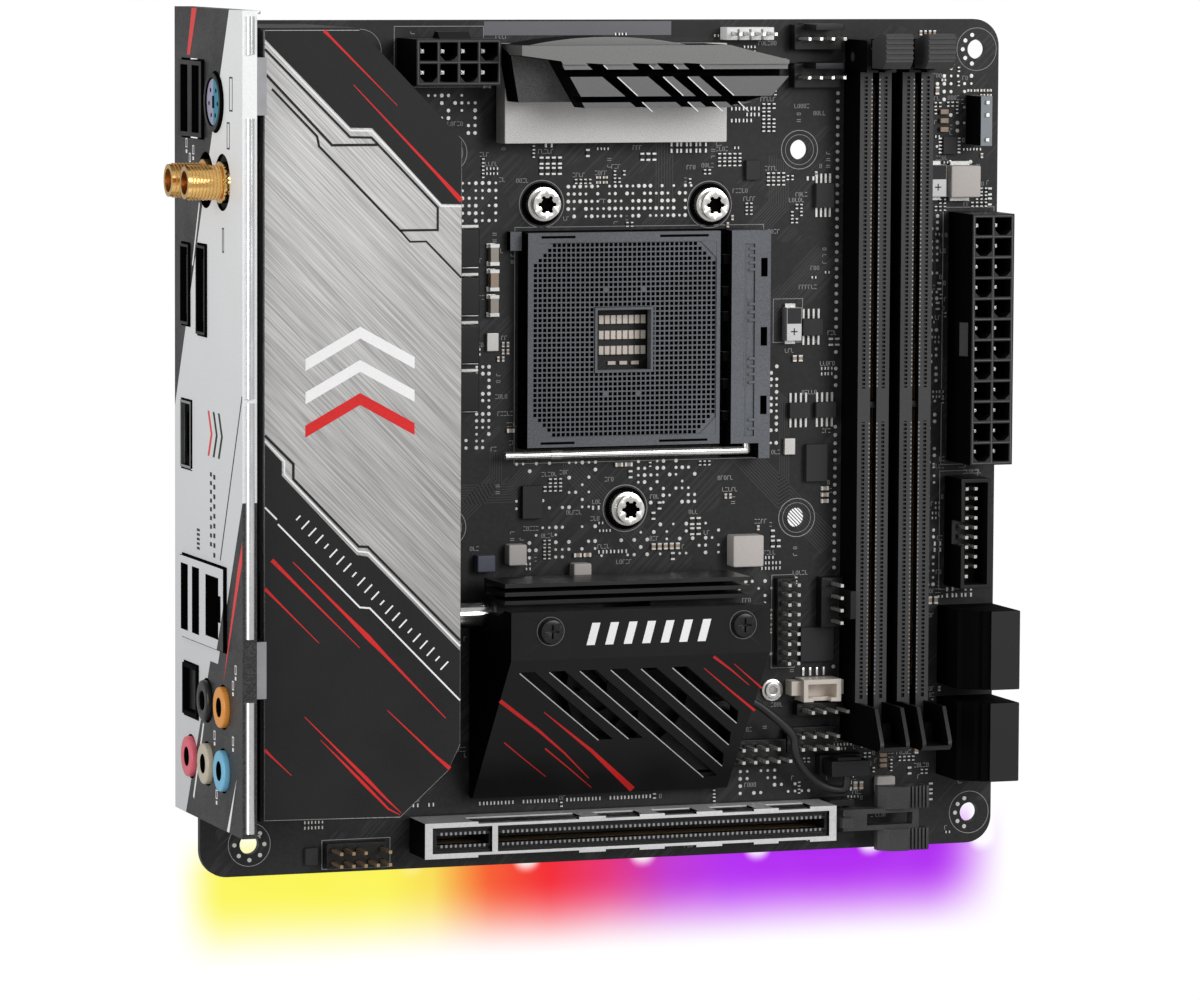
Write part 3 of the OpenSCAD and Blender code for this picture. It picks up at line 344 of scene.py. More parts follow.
def floor_finish():
    """A bright white floor with the strip's light painted on it: a coloured glow along the board's lower
    edge, whiter where the brightest lamps sit.
    """
    made = Finish("floor_white")
    x, y, _ = made.board_axes()
    glow = made.times(
        made.spread(y, 0, 1, -GLOW_REACH, -3.5, smooth=True),
        made.spread(y, 1, 0, 0, 8),
        made.spread(x, 0, 1, -5, 7, smooth=True),
        made.spread(x, 1, 0, 157, 177, smooth=True),
        made.spread(made.noise(22, detail=2), 0.93, 1.0),
    )
    lamps = made.math("COSINE", made.times(made.math("SUBTRACT", x, FIRST_LAMP), 2 * math.pi / LAMP_GAP))
    hot = made.times(made.spread(lamps, 0, 1, 0.4, 1), made.spread(y, 0, 1, -5, 0))
    hot = made.times(made.spread(hot, 0, 0.9, 0.35, 0.9, smooth=True), made.spread(x, 0, 1, 40, 60))
    lit = made.times(glow, made.math("SUBTRACT", 1.0, hot))
    shine_through(made, made.mix(lit, (1.0, 1.0, 1.0), glow_ramp(made, x)), 1)
    made.put(Base_Color=(0.02, 0.02, 0.02), Roughness=1, Specular_IOR_Level=0)
    return made.material


MASK = board_finish()
BRUSHED = brushed_finish()
PANEL = panel_finish()
LENS = glow_finish()
SILK = plain("silk_print", (0.30, 0.30, 0.30), rough=0.7, grain=0.25, vary=0.25)
TIN = plain("tinned_solder", (0.68, 0.68, 0.66), rough=0.35, metal=0.5, grain=0.2, bump=0.15)
TRACK = plain("buried_track", (0.042, 0.042, 0.043), rough=0.4, bump=0.05, shine=0.3)
GOLD = plain("gold_plate", (0.90, 0.56, 0.20), rough=0.25, metal=1.0, vary=0.1, bump=0.05)
COPPER = plain("pale_gold_pin", (0.52, 0.36, 0.21), rough=0.3, metal=0.8, vary=0.1, bump=0.05)
BRIGHT_PIN = plain("tin_pin", (0.8, 0.79, 0.76), rough=0.25, metal=0.8, vary=0.1, bump=0.05)
SPRING = plain("bright_spring", (0.88, 0.88, 0.89), rough=0.2, metal=0.9, grain=1.5, vary=0.05, bump=0.03)
TAB = plain("dull_tab", (0.30, 0.30, 0.31), rough=0.4, metal=0.6, grain=4, vary=0.08, bump=0.03)
BLACK = plain("moulded_black", (0.004, 0.004, 0.004), rough=0.42, vary=0.3, bump=0.2, shine=0.35)
# A paler black: the label's dark end, and painted light on the top faces of the power sockets and storage
# ports
PALE_BLACK_AND_LIT_TOPS = plain("satin_black", (0.013, 0.013, 0.014), vary=0.2, bump=0.2, shine=0.3)
SLOT_BLACK = plain("slot_plastic", (0.003, 0.003, 0.003), rough=0.4, vary=0.3, bump=0.15, shine=0.3)
# The memory sockets' black plastic, painted lighter grey on the rungs' top faces as painted light
RUNG = plain("slot_rungs", (0.042, 0.042, 0.044), rough=0.45, vary=0.25, bump=0.15, shine=0.3)
OUTLINE = plain("cell_outline", (0.13, 0.13, 0.135), vary=0.2, bump=0.05, shine=0.3)
LATCH = plain("latch_plastic", (0.040, 0.040, 0.042), rough=0.42, vary=0.25, bump=0.2, shine=0.35)
SOCKET = plain("socket_slate", (0.115, 0.122, 0.135), grain=0.35, vary=0.22, bump=0.3, shine=0.3)
# Near-black for black parts and print, and also for painted shade on walls, hollows and openings that the
# lamps leave dark
DARK = plain("deep_black", (0.001, 0.001, 0.001), rough=0.8, grain=0.4, vary=0.2, shine=0.05)
COVER = plain("cover_shell", (0.012, 0.012, 0.013), grain=0.25, vary=0.2, bump=0.35, shine=0.3)
PRINT_BLACK = plain("plate_black", (0.010, 0.010, 0.011), rough=0.45, grain=0.6, vary=0.12, shine=0.25)
PRINT_WHITE = plain("print_white", (0.85, 0.85, 0.85), vary=0.04, bump=0.05)
PRINT_RED = plain("print_red", (0.62, 0.018, 0.018), rough=0.45, vary=0.12, bump=0.05, shine=0.25)
PRINT_CORAL = plain("print_coral", (0.72, 0.06, 0.06), vary=0.08, bump=0.05, shine=0.25)
ANODISED = plain(
    "grey_anodised", (0.155, 0.155, 0.152), rough=0.42, metal=0.4, grain=0.22, vary=0.18, bump=0.15
)
MID_ANODISED = plain("dim_anodised", (0.11, 0.11, 0.11), rough=0.38, metal=0.4, grain=0.22, bump=0.15)
CAST_BLACK = plain("cast_black", (0.06, 0.06, 0.06), rough=0.6, vary=0.45, bump=0.5, shine=0.3)
BLASTED = plain(
    "blasted_silver", (0.60, 0.585, 0.575), rough=0.55, metal=0.3, grain=0.22, vary=0.2, bump=0.4
)
FIN = plain("black_fins", (0.012, 0.012, 0.0125), rough=0.35, metal=0.2, grain=0.4, vary=0.2, bump=0.15)
SHROUD = plain(
    "shroud_black", (0.007, 0.007, 0.007), rough=0.46, grain=0.25, vary=0.2, bump=0.25, shine=0.2
)
PIPE = plain("plated_pipe", (0.80, 0.79, 0.78), rough=0.14, metal=1.0, grain=2, vary=0.06, bump=0.03)
SCREW = plain("bright_screw", (0.82, 0.80, 0.77), rough=0.22, metal=0.85, grain=0.5, vary=0.12)
BLACK_SCREW = plain("black_screw", (0.012, 0.012, 0.012), rough=0.25, metal=0.3, vary=0.2)
WIRE = plain("lever_wire", (0.88, 0.87, 0.84), rough=0.22, metal=0.85, grain=1.2, vary=0.08, bump=0.05)
CHIP = plain("chip_epoxy", (0.024, 0.024, 0.025), rough=0.55, grain=0.15, vary=0.2, bump=0.3, shine=0.3)
CERAMIC = plain("tan_ceramic", (0.36, 0.27, 0.20))
PALE_CERAMIC = plain("pale_ceramic", (0.36, 0.32, 0.28), rough=0.45, vary=0.12)
CRYSTAL = plain("crystal_lid", (0.66, 0.64, 0.61), rough=0.35, metal=0.3, vary=0.06, bump=0.05)
POWDER = plain("powder_core", (0.52, 0.485, 0.46), rough=0.6, grain=0.25, vary=0.08, bump=0.3)
BLUE_CORE = plain("slate_core", (0.075, 0.085, 0.115), grain=0.25, bump=0.3)
POLYMER = plain("polymer_case", (0.62, 0.62, 0.62), rough=0.35, metal=0.3, grain=0.25, vary=0.06)
WHITE_NYLON = plain("white_nylon", (0.86, 0.86, 0.85), rough=0.45, vary=0.05)
BLUE_NYLON = plain("blue_grey_nylon", (0.20, 0.225, 0.245), rough=0.4, vary=0.1, bump=0.15)
CREAM = plain("cream_nylon", (0.70, 0.63, 0.56), rough=0.4, vary=0.06)
PORT_STEEL = plain("port_steel", (0.42, 0.42, 0.43), rough=0.3, metal=0.9, grain=0.6, vary=0.1)
WIFI_STEEL = plain("wifi_steel", (0.10, 0.10, 0.10), rough=0.35, metal=0.7, grain=0.6, vary=0.1)
# Zinc for the expansion slot's shell, and also painted highlight lines along the heatsink's and the
# chipset cover's slanting cuts
ZINC_AND_HIGHLIGHT = plain("zinc_shell", (0.68, 0.68, 0.685), rough=0.38, metal=0.35, grain=0.6, vary=0.08)
PAD = plain("thermal_pad", (0.30, 0.33, 0.38), rough=0.8, vary=0.1, bump=0.3)
SLEEVE = plain("cable_sleeve", (0.010, 0.010, 0.011), grain=0.25, vary=0.3, bump=0.5)
STICKER = plain("label_paper", (0.145, 0.146, 0.163), vary=0.06, bump=0.05)
TEAL = plain("mouse_teal", (0.010, 0.22, 0.34), rough=0.4, vary=0.1, bump=0.05)
LILAC = plain("keyboard_lilac", (0.34, 0.33, 0.46), rough=0.4, vary=0.1, bump=0.05)

# Name, colour, and y and z of the middle, of each audio jack's ring
RING_COLOURS = [
    ("jack_black", (0.006, 0.005, 0.005), (38, 18.6)),
    ("jack_orange", (0.76, 0.30, 0.045), (38, 30.2)),
    ("jack_pink", (0.70, 0.12, 0.17), (25.6, 7.4)),
    ("jack_beige", (0.52, 0.47, 0.36), (25.6, 18.9)),
    ("jack_blue", (0.17, 0.47, 0.68), (25.6, 30.2)),
]
RINGS = [plain(name, colour, rough=0.35, vary=0.08) for name, colour, _ in RING_COLOURS]


# ---------------------------------------------------------------- CAD nodes


def soften(node, width_mm):
    """Joins the split vertices and rounds a CAD node's sharp edges, as modifiers only."""
    weld = node.modifiers.new("weld", "WELD")
    weld.merge_threshold = 0.001 * MM
    bevel = node.modifiers.new("bevel", "BEVEL")
    bevel.width = width_mm * MM
    bevel.segments = 2
    bevel.limit_method = "ANGLE"
    bevel.angle_limit = math.radians(35)
    bevel.use_clamp_overlap = True
    weigh = node.modifiers.new("weigh", "WEIGHTED_NORMAL")
    weigh.keep_sharp = False


def coat(name, *materials, choose=None, edge=0.0):
    """Gives a CAD node its finish. choose(centre, normal) picks the material of each face."""
    node = NODES[name]
    node.data.materials.clear()
    for material in materials:
        node.data.materials.append(material)
    for face in node.data.polygons:
        face.material_index = choose(to_board(face.center), face.normal) if choose else 0
    if edge:
        soften(node, edge)


def nearest_ring(centre, _normal):
    """The ring's own colour, with painted shade in black down its bore."""
    gaps = [math.hypot(centre[1] - y, centre[2] - z) for _, _, (y, z) in RING_COLOURS]
    return len(RINGS) if min(gaps) < 2 else gaps.index(min(gaps))


def heatsink_face(centre, normal):
    """Light tops, a dimmer front band and lip, a cast lower shelf, and painted shade in deep black on the
    groove floors and side faces.
    """
    if normal[2] < 0.9:
        return 0 if centre[1] > 161.7 and centre[0] < 60 else 3
    if centre[2] > 21.9:
        return 0 if centre[1] > 159.3 else 1
    if centre[2] > 19.5:
        return 0 if centre[1] > 160 else 1
    return 3 if centre[2] > 16 else 2


def star_pit(centre, _normal):
    """Painted shade in deep black inside a star screw's recess."""
    gap = min(math.hypot(centre[0] - x, centre[1] - y) for x, y in SOCKET_SCREWS)
    return int(gap < 1.95 and 1.8 < centre[2] < 3.55)


def port_mouth(centre, normal):
    """Painted shade in deep black inside a port's openings, its own finish on the faces that ring them.
    """
    outer = abs(normal[0]) > 0.9 and centre[0] < PANEL_FACE + 0.3
    return int(not outer and centre[0] < 16 and 1.2 < centre[2] < 36)


def socket_base_face(centre, normal):
    """Painted shade in deep black on the side walls towards the port edge and on the channel floor, black
    tabs; slate elsewhere.
    """
    if normal[0] < -0.9 or centre[2] < 2.6:
        return 1 if centre[0] > 66 or normal[0] < -0.9 else 0
    return int(centre[0] < 109.7 and centre[2] > 5)


def small_part(centre, _normal):
    """Capacitors by place: polymer cans, crystal lids, tan and pale ceramics."""
    x, y, _ = centre
    if (118 < x < 128 and 103 < y < 113) or (153 < x < 158 and 133 < y < 141):
        return 1
    if (118 < x < 128 and y < 90) or (x < 62 and y < 109):
        return 3
    return 2 if x > 140 or 115 < y < 120.5 else 0


def shield_face(centre, normal):
    """Dull tabs, and painted shade in deep black on the walls inside the panel's openings."""
    if centre[2] > 42 and centre[0] > -0.95:
        return 1
    inside = 15.5 < centre[1] < 170.5 and -2.5 < centre[2] < 38
    return 2 if abs(normal[0]) < 0.5 and inside else 0


def faces_ports(_centre, normal):
    """Faces turned to the port edge, which the neighbours keep in the dark."""
    return int(normal[0] < -0.9)


def power_socket_face(centre, normal):
    """Painted light on the rims' top faces, and painted shade in deep black on the walls towards the port
    edge.
    """
    return 2 if normal[0] < -0.9 else int(normal[2] > 0.9 and centre[2] > 12)


def memory_slot_face(centre, normal):
    """Painted light on the tops of the two upper steps' rungs in grey, and painted shade in deep black on
    the walls in the gaps.
    """
    return 2 if abs(normal[0]) > 0.9 else int(normal[2] > 0.9 and 8.9 < centre[2] < 9.1)


def led_header_face(centre, normal):
    """White strip by the power stage; blue-grey one by the front edge, with painted shade in deep black
    on its near side.
    """
    if centre[0] < 140:
        return 0
    return 2 if normal[0] < -0.9 else 1


def inductor_kind(centre, _normal):
    """Black for the power stage's chokes, slate for its small cores, pale for the others."""
    return 2 if centre[0] < 56.6 else int(centre[0] < 62)


def coat_nodes():
    """Gives every CAD node that no piece replaces its finish."""
    coat("pcb", MASK)
    coat("io_shield", PANEL, TAB, DARK, choose=shield_face)
    coat("shield_springs", SPRING)
    coat("io_cover", COVER, edge=0.3)
    coat("io_cover_plate", BRUSHED, PRINT_BLACK, choose=lambda c, n: int(c[2] < 39), edge=0.12)
    coat("io_cover_screws", SCREW)
    coat("vrm_heatsink", ANODISED, MID_ANODISED, CAST_BLACK, DARK, choose=heatsink_face, edge=0.12)
    coat("vrm_heatsink_base", BLASTED, edge=0.2)
    coat("vrm_thermal_pads", PAD)
    coat("heat_pipe", PIPE)
    coat("io_heat_block", ANODISED)
    coat("chipset_heatsink", FIN, edge=0.1)
    coat("chipset_cover", SHROUD, DARK, choose=faces_ports, edge=0.15)
    coat("chipset_cover_screws", BLACK_SCREW, edge=0.12)
    coat("chipset_fan_rotor", SLOT_BLACK, edge=0.1)
    for name in ("chipset_fan_frame", "fan_cable_plug", "pin_headers"):
        coat(name, BLACK, edge=0.15)
    coat("chipset_ic", CHIP)
    coat("header_pins", COPPER, BRIGHT_PIN, choose=lambda c, n: int(c[0] > 60))
    coat("cpu_socket_base", SOCKET, DARK, choose=socket_base_face, edge=0.12)
    coat("cpu_socket_lever", WIRE)
    coat("socket_capacitors", CREAM)
    coat("cpu_backplate", BLACK, edge=0.3)
    coat("backplate_screws", SCREW, DARK, choose=star_pit, edge=0.2)
    for name in ("dimm_slot_1", "dimm_slot_2"):
        coat(name, SLOT_BLACK, RUNG, DARK, choose=memory_slot_face, edge=0.08)
    for name in ("dimm_latch_1", "dimm_latch_2", "pcie_latch"):
        coat(name, LATCH, edge=0.12)
    coat("slot_contacts", COPPER)
    for name in ("atx_power_socket", "cpu_power_socket"):
        coat(name, BLACK, PALE_BLACK_AND_LIT_TOPS, DARK, choose=power_socket_face, edge=0.1)
    coat("power_pins", BRIGHT_PIN)
    coat("usb3_header", BLACK, DARK, choose=faces_ports, edge=0.1)
    # Storage ports: painted shade in deep black on all faces but the tops, which are painted lighter as
    # light
    coat("sata_ports", DARK, PALE_BLACK_AND_LIT_TOPS, choose=lambda c, n: int(n[2] > 0.9 and c[2] > 14.5), edge=0.2)
    coat("pcie_slot", BLACK, edge=0.08)
    # Painted shade in deep black on the shell's faces turned to the port edge
    coat("pcie_slot_shell", ZINC_AND_HIGHLIGHT, DARK, choose=lambda c, n: int(n[0] < -0.5), edge=0.08)
    coat("led_headers", WHITE_NYLON, BLUE_NYLON, DARK, choose=led_header_face, edge=0.1)
    coat("uart_header", CREAM, BRIGHT_PIN, choose=lambda c, n: int(c[1] > 35.85), edge=0.1)
    coat("m2_socket", BLACK, edge=0.1)
    coat("m2_standoff", SCREW, edge=0.12)
    coat("antenna_jacks", GOLD, edge=0.1)
    coat("antenna_bracket", WIFI_STEEL)
    coat("wifi_module", PORT_STEEL, edge=0.2)
    for name in ("usb_ps2_stack", "display_ports"):
        coat(name, BLACK, DARK, choose=port_mouth, edge=0.15)
    coat("lan_usb_stack", PANEL, DARK, choose=port_mouth)
    coat("usb_c_port", PORT_STEEL, DARK, choose=port_mouth, edge=0.1)
    for name in ("port_tongues", "optical_shutter"):
        coat(name, BLACK)
    coat("optical_port", DARK, edge=0.15)
    coat("audio_jack_block", BLACK, edge=0.2)
    coat("audio_jack_rings", *RINGS, DARK, choose=nearest_ring, edge=0.4)
    coat("power_inductors", POWDER, BLUE_CORE, BLACK, choose=inductor_kind, edge=0.3)
    coat("ic_packages", CHIP, edge=0.12)
    coat("underglow_leds", LENS, edge=0.2)
    coat("capacitors", PALE_CERAMIC, POLYMER, CERAMIC, CRYSTAL, choose=small_part, edge=0.12)


coat_nodes()


# ---------------------------------------------------------------- pieces in mesh code


class Shape:
    """Gathers faces and makes one named piece of them. where() gives board millimetres."""

    def __init__(self, where=lambda a, b, c: (a, b, c)):
        self.where = where
        self.points = []
        self.faces = []
        self.slots = []

    def face(self, corners, slot=0):
        first = len(self.points)
        self.points += [self.where(*c) for c in corners]
        self.faces.append(tuple(range(first, first + len(corners))))
        self.slots.append(slot)

    def prism(self, outline, low, high, slot=0):
        """A closed block over an outline, from low to high."""
        n = len(outline)
        first = len(self.points)
        for level in (low, high):
            self.points += [self.where(a, b, level) for a, b in outline]
        self.faces.append(tuple(first + i for i in reversed(range(n))))
        self.faces.append(tuple(first + n + i for i in range(n)))
        for i in range(n):
            j = (i + 1) % n
            self.faces.append((first + i, first + j, first + n + j, first + n + i))
        self.slots += [slot] * (n + 2)

    def box(self, x, y, z, slot=0):
        self.prism([(x[0], y[0]), (x[1], y[0]), (x[1], y[1]), (x[0], y[1])], z[0], z[1], slot)

    def border(self, outer_x, outer_y, inner_x, inner_y, z):
        """Four blocks that fill the ground between two rectangles."""
        self.box((outer_x[0], inner_x[0]), outer_y, z)
        self.box((inner_x[1], outer_x[1]), outer_y, z)
        self.box(inner_x, (outer_y[0], inner_y[0]), z)
        self.box(inner_x, (inner_y[1], outer_y[1]), z)

    def disc(self, spot, radius, low, high, sides=12, slot=0):
        self.prism(circle(spot, radius, sides), low, high, slot)

    def band(self, spot, inner, outer, low, high, sides):
        """A flat ring with square edges."""
        for i in range(sides):
            a, b = (2 * math.pi * k / sides for k in (i, i + 1))
            corners = [around(spot, r, t) for r, t in ((inner, a), (outer, a), (outer, b), (inner, b))]
            self.prism(corners, low, high)

    def ribbon(self, route, width, low, high, taper=1.0):
        """A line of even width along a route, mitred at its corners. taper narrows its far end."""
        sides = []
        for i, p in enumerate(route):
            before = Vector(route[max(i - 1, 0)])
            after = Vector(route[min(i + 1, len(route) - 1)])
            here = Vector(p)
            ways = [v.normalized() for v in (here - before, after - here) if v.length > 0]
            way = (ways[0] + ways[-1]).normalized()
            across = Vector((-way.y, way.x))
            half = width / 2 / max(0.5, ways[0].dot(way))
            half *= 1 + (taper - 1) * i / (len(route) - 1)
            sides.append((here + across * half, here - across * half))
        for (a, b), (c, d) in zip(sides, sides[1:]):
            self.prism([tuple(a), tuple(b), tuple(d), tuple(c)], low, high)

    def make(self, name, *materials, body="board", slot=None, replaces=(), choose=None):
        """The finished piece. choose(centre, normal, slot) may give a face another material."""
        mesh = bpy.data.meshes.new(name)
        mesh.from_pydata([place(*p) for p in self.points], [], self.faces)
        for material in materials:
            mesh.materials.append(material)
        for face, number in zip(mesh.polygons, self.slots):
            face.material_index = number
        piece = add_object(name, mesh)
        repair(mesh)
        for face in mesh.polygons if choose else ():
            face.material_index = choose(to_board(face.center), face.normal, face.material_index)
        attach(piece, body)
        if replaces:
            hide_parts(*replaces)
        return piece


def repair(mesh):
    """Turns every closed shell's faces outwards."""
    work = bmesh.new()
    work.from_mesh(mesh)
    bmesh.ops.recalc_face_normals(work, faces=work.faces)
    work.to_mesh(mesh)
    work.free()


def around(spot, radius, turn):
    """The point at a turn round a spot."""
    return spot[0] + radius * math.cos(turn), spot[1] + radius * math.sin(turn)


def circle(spot, radius, sides):
    return [around(spot, radius, 2 * math.pi * i / sides) for i in range(sides)]


def square(x, y, half):
    return [(x - half, y - half), (x + half, y - half), (x + half, y + half), (x - half, y + half)]


def rows(start, end, pitch):
    return [start + i * pitch for i in range(int((end - start) / pitch) + 1)]


def chevrons(shape, spots, half, drop, thick, levels):
    """Plain arrowheads with their points at the spots, falling by drop over half their width."""
    for x, y in spots:
        for side in (-1, 1):
            tip = x + side * half
            outline = [(x, y), (tip, y - drop), (tip, y - drop - thick), (x, y - thick)]
            shape.prism(outline, *levels)


def frame_lines(shape, a, b, width, level):
    """A hollow rectangle of thin lines."""
    shape.border(a, b, (a[0] + width, a[1] - width), (b[0] + width, b[1] - width), level)


# ---- port cover's plate

PLATE_TOP = 40.0

# Outlines of the plate's black corners, in x and y
PLATE_CORNERS = [
    [(1.5, 168.8), (1.5, 167.2), (18.6, 150.2), (22.9, 150.1), (37.0, 135.4), (41.0, 135.3),
     (41.0, 147.6), (20.4, 168.8)],
    [(1.5, 17.0), (1.5, 89.9), (4.9, 86.3), (4.9, 83.6), (20.0, 67.9), (22.2, 67.5), (41.0, 48.6),
     (41.0, 30.2), (38.6, 25.3), (28.9, 16.6)],
]

# Route in x and y, and width, of each printed line
PLATE_BLACK_LINES = [
    ([(1.5, 165.3), (18.5, 148.4), (22.8, 148.3), (36.2, 134.7), (36.2, 130.4), (28.6, 130.4),
      (12.3, 146.7), (11.9, 148.6), (2.9, 157.7)], 0.45),
    ([(1.5, 160.7), (14.9, 146.9), (24.0, 146.9)], 0.5),
    ([(28.6, 130.4), (30.6, 128.2), (33.9, 128.2), (41.0, 121.1)], 0.35),
    ([(1.5, 91.4), (7.2, 85.8), (7.2, 82.9), (20.4, 69.5), (22.2, 69.4), (41.0, 50.6)], 0.5),
]
PLATE_WHITE_LINES = [
    ([(1.5, 166.6), (18.5, 149.7), (22.8, 149.6), (36.9, 135.0), (41.0, 134.9)], 0.36),
    ([(1.5, 77.6), (3.9, 75.2)], 0.35),
    ([(4.1, 74.3), (20.6, 57.7), (22.6, 57.5), (41.0, 38.9)], 0.32),
    ([(1.5, 90.4), (5.4, 86.4), (5.4, 83.9), (20.2, 68.6), (22.3, 68.3), (41.0, 49.5)], 0.34),
]
PLATE_RED_STREAKS = [
    ([(13.3, 168.8), (14.5, 167.6), (28.0, 154.4)], 0.75),
    ([(41.0, 136.0), (36.0, 141.2), (19.2, 158.4)], 0.95),
    ([(2.9, 67.4), (8.0, 62.3), (20.6, 49.8)], 0.8),
    ([(22.2, 51.9), (26.0, 48.0), (38.1, 35.5)], 1.0),
    ([(22.2, 51.9), (18.0, 56.1), (7.1, 66.9)], 1.0),
    ([(1.5, 61.9), (4.0, 59.4), (12.4, 51.0)], 0.65),
    ([(1.5, 30.7), (3.0, 29.2), (6.9, 25.5)], 0.6),
    ([(22.0, 24.3), (26.0, 20.2), (29.1, 17.3)], 0.7),
    ([(22.0, 24.3), (17.0, 29.3), (9.5, 36.8)], 0.7),
    ([(21.5, 23.3), (26.5, 18.2), (28.9, 16.9)], 0.6),
    ([(21.5, 23.3), (17.0, 27.9), (12.7, 32.2)], 0.6),
    ([(39.0, 25.6), (36.0, 28.2), (26.2, 37.5)], 0.8),
]


def plate_bars(shape, level):
    """A slanting row of short bars, every fourth one shorter."""
    bars = 22
    for i in range(bars):
        t = i / (bars - 1)
        spot = Vector((8.2 + 29.6 * t, 75.4 - 29.6 * t))
        lean = Vector((0.7, 0.7)) * (1.1 if i % 4 else 0.6)
        shape.ribbon([tuple(spot - lean), tuple(spot + lean)], 0.3, *level)


def plate_print():
    """The plate's black corners, and the lines, chevrons and streaks printed across it."""
    line = (PLATE_TOP + INK, PLATE_TOP + 2 * INK)
    black = Shape()
    for outline in PLATE_CORNERS:
        black.prism(outline, PLATE_TOP, PLATE_TOP + INK)
    for route, width in PLATE_BLACK_LINES:
        black.ribbon(route, width, *line)
    black.make("plate_ink_black", PRINT_BLACK)

    white = Shape()
    for route, width in PLATE_WHITE_LINES:
        white.ribbon(route, width, *line)
    plate_bars(white, line)
    chevrons(white, [(20.6, 112.0), (20.6, 105.6)], 11.0, 6.05, 2.3, line)
    white.make("plate_ink_white", PRINT_WHITE)

    red = Shape()
    for route, width in PLATE_RED_STREAKS:
        red.ribbon(route, width, *line, taper=0.15)
    chevrons(red, [(20.6, 99.2)], 11.0, 6.05, 2.3, line)
    red.make("plate_ink_red", PRINT_RED)


# ---- port panel's print

# y and z of the plain frames that stand in for the port signs
PORT_SIGNS = [
    (146.2, 4.4),
    (145.0, 9.2),
    (143.4, 6.8),
    (46.2, 38.6),
    (43.0, 36.8),
    (20.4, 25.4),
    (32.2, 36.8),
    (31.8, 24.0),
]


def on_panel(a, b, c):
    """a is y, b is z and c is the distance out of the panel."""
    return (PANEL_FACE - c, a, b)


def panel_print():
    """Chevrons, dotted bars, plain frames in place of the port names, and slanting streaks."""
    level = (0.0, INK)
    red = Shape(on_panel)
    red.prism([(172.6, 8.2), (172.6, 11.7), (163.4, 6.9), (163.4, 4.8)], *level)
    red.prism([(71.3, 43.1), (65.6, 39.9), (42.8, 30.2), (65.6, 42.2), (67.2, 43.1)], *level)
    chevrons(red, [(90.4, 22.6)], 4.4, 2.2, 1.2, level)
    red.make("panel_ink_red", PRINT_CORAL)

    dark = Shape(on_panel)
    dark.ribbon([(99.2, 43.0), (66.4, 28.0)], 0.5, *level)
    chevrons(dark, [(90.4, 26.2), (90.4, 29.8)], 4.4, 2.2, 1.2, level)
    for i in range(9):
        dark.box((66.5 + i * 1.9, 67.4 + i * 1.9), (23.2, 24.6), level)
        dark.box((68.5 + i * 1.7, 69.3 + i * 1.7), (20.9, 22.2), level)
    for i in range(5):
        dark.box((67.0 + i * 0.9, 67.5 + i * 0.9), (11.6, 13.6), level)
    for y, z, w, h in ((156.6, 35.4, 6.6, 2.2), (148.6, 33.6, 5.2, 1.9), (128.4, 30.0, 4.8, 1.2)):
        frame_lines(dark, (y - w / 2, y + w / 2), (z - h / 2, z + h / 2), 0.3, level)
    dark.make("panel_ink_dark", PRINT_BLACK)

    pale = Shape(on_panel)
    pale.ribbon([(134.9, 13.6), (122.4, 8.6)], 0.7, *level)
    pale.ribbon([(33.2, 16.3), (17.6, 9.1)], 0.8, *level)
    pale.prism([(25.0, 39.2), (14.1, 34.2), (14.1, 32.6)], *level)
    for y, z in PORT_SIGNS:
        frame_lines(pale, (y - 0.9, y + 0.9), (z - 0.6, z + 0.6), 0.22, level)
        pale.box((y - 2.0, y - 1.3), (z - 0.5, z + 0.5), level)
    pale.make("panel_ink_pale", PRINT_WHITE)


# ---- chipset cover's print

# y and z of the sloping face's foot and head
SLOPE_FOOT = (14.1, 3.0)
SLOPE_HEAD = (44.5, 27.0)

# Route in x and y, width, and the share of that width left at the far end
SHROUD_RED_STREAKS = [
    ([(55.9, 35.9), (65.8, 29.0), (72.7, 23.7), (79.7, 17.6)], 0.75, 0.15),
    ([(65.9, 33.0), (78.6, 23.8), (89.9, 14.6)], 0.13, 9),
    ([(68.4, 24.8), (75.0, 19.9), (80.9, 15.4)], 0.28, 0.4),
    ([(59.3, 26.5), (64.8, 22.4), (70.3, 18.4)], 0.22, 0.5),
    ([(98.6, 44.0), (103.4, 40.8), (108.2, 37.3)], 0.5, 0.2),
    ([(103.5, 42.2), (107.4, 39.3), (111.2, 36.5)], 0.1, 3.5),
    ([(97.3, 41.5), (104.3, 36.4), (111.2, 31.5)], 0.12, 4),
]

# Right-hand edges of the slanting slots, in x and y, along which bright lines are painted as highlights
SHROUD_SLOT_EDGES = [
    [(58.4, 41.8), (79.3, 26.2)],
    [(64.6, 41.8), (85.7, 26.2)],
    [(71.0, 41.8), (104.6, 16.7)],
    [(77.5, 41.8), (107.9, 19.1)],
    [(83.9, 41.8), (107.9, 23.9)],
    [(90.5, 41.8), (108.1, 28.8)],
]


def on_slope(a, b, c):
    """a is x, b is y on the sloping face and c is the height off it."""
    run = SLOPE_HEAD[0] - SLOPE_FOOT[0]
    rise = SLOPE_HEAD[1] - SLOPE_FOOT[1]
    length = math.hypot(run, rise)
    z = SLOPE_FOOT[1] + (b - SLOPE_FOOT[0]) * rise / run
    return (a, b - c * rise / length, z + c * run / length)


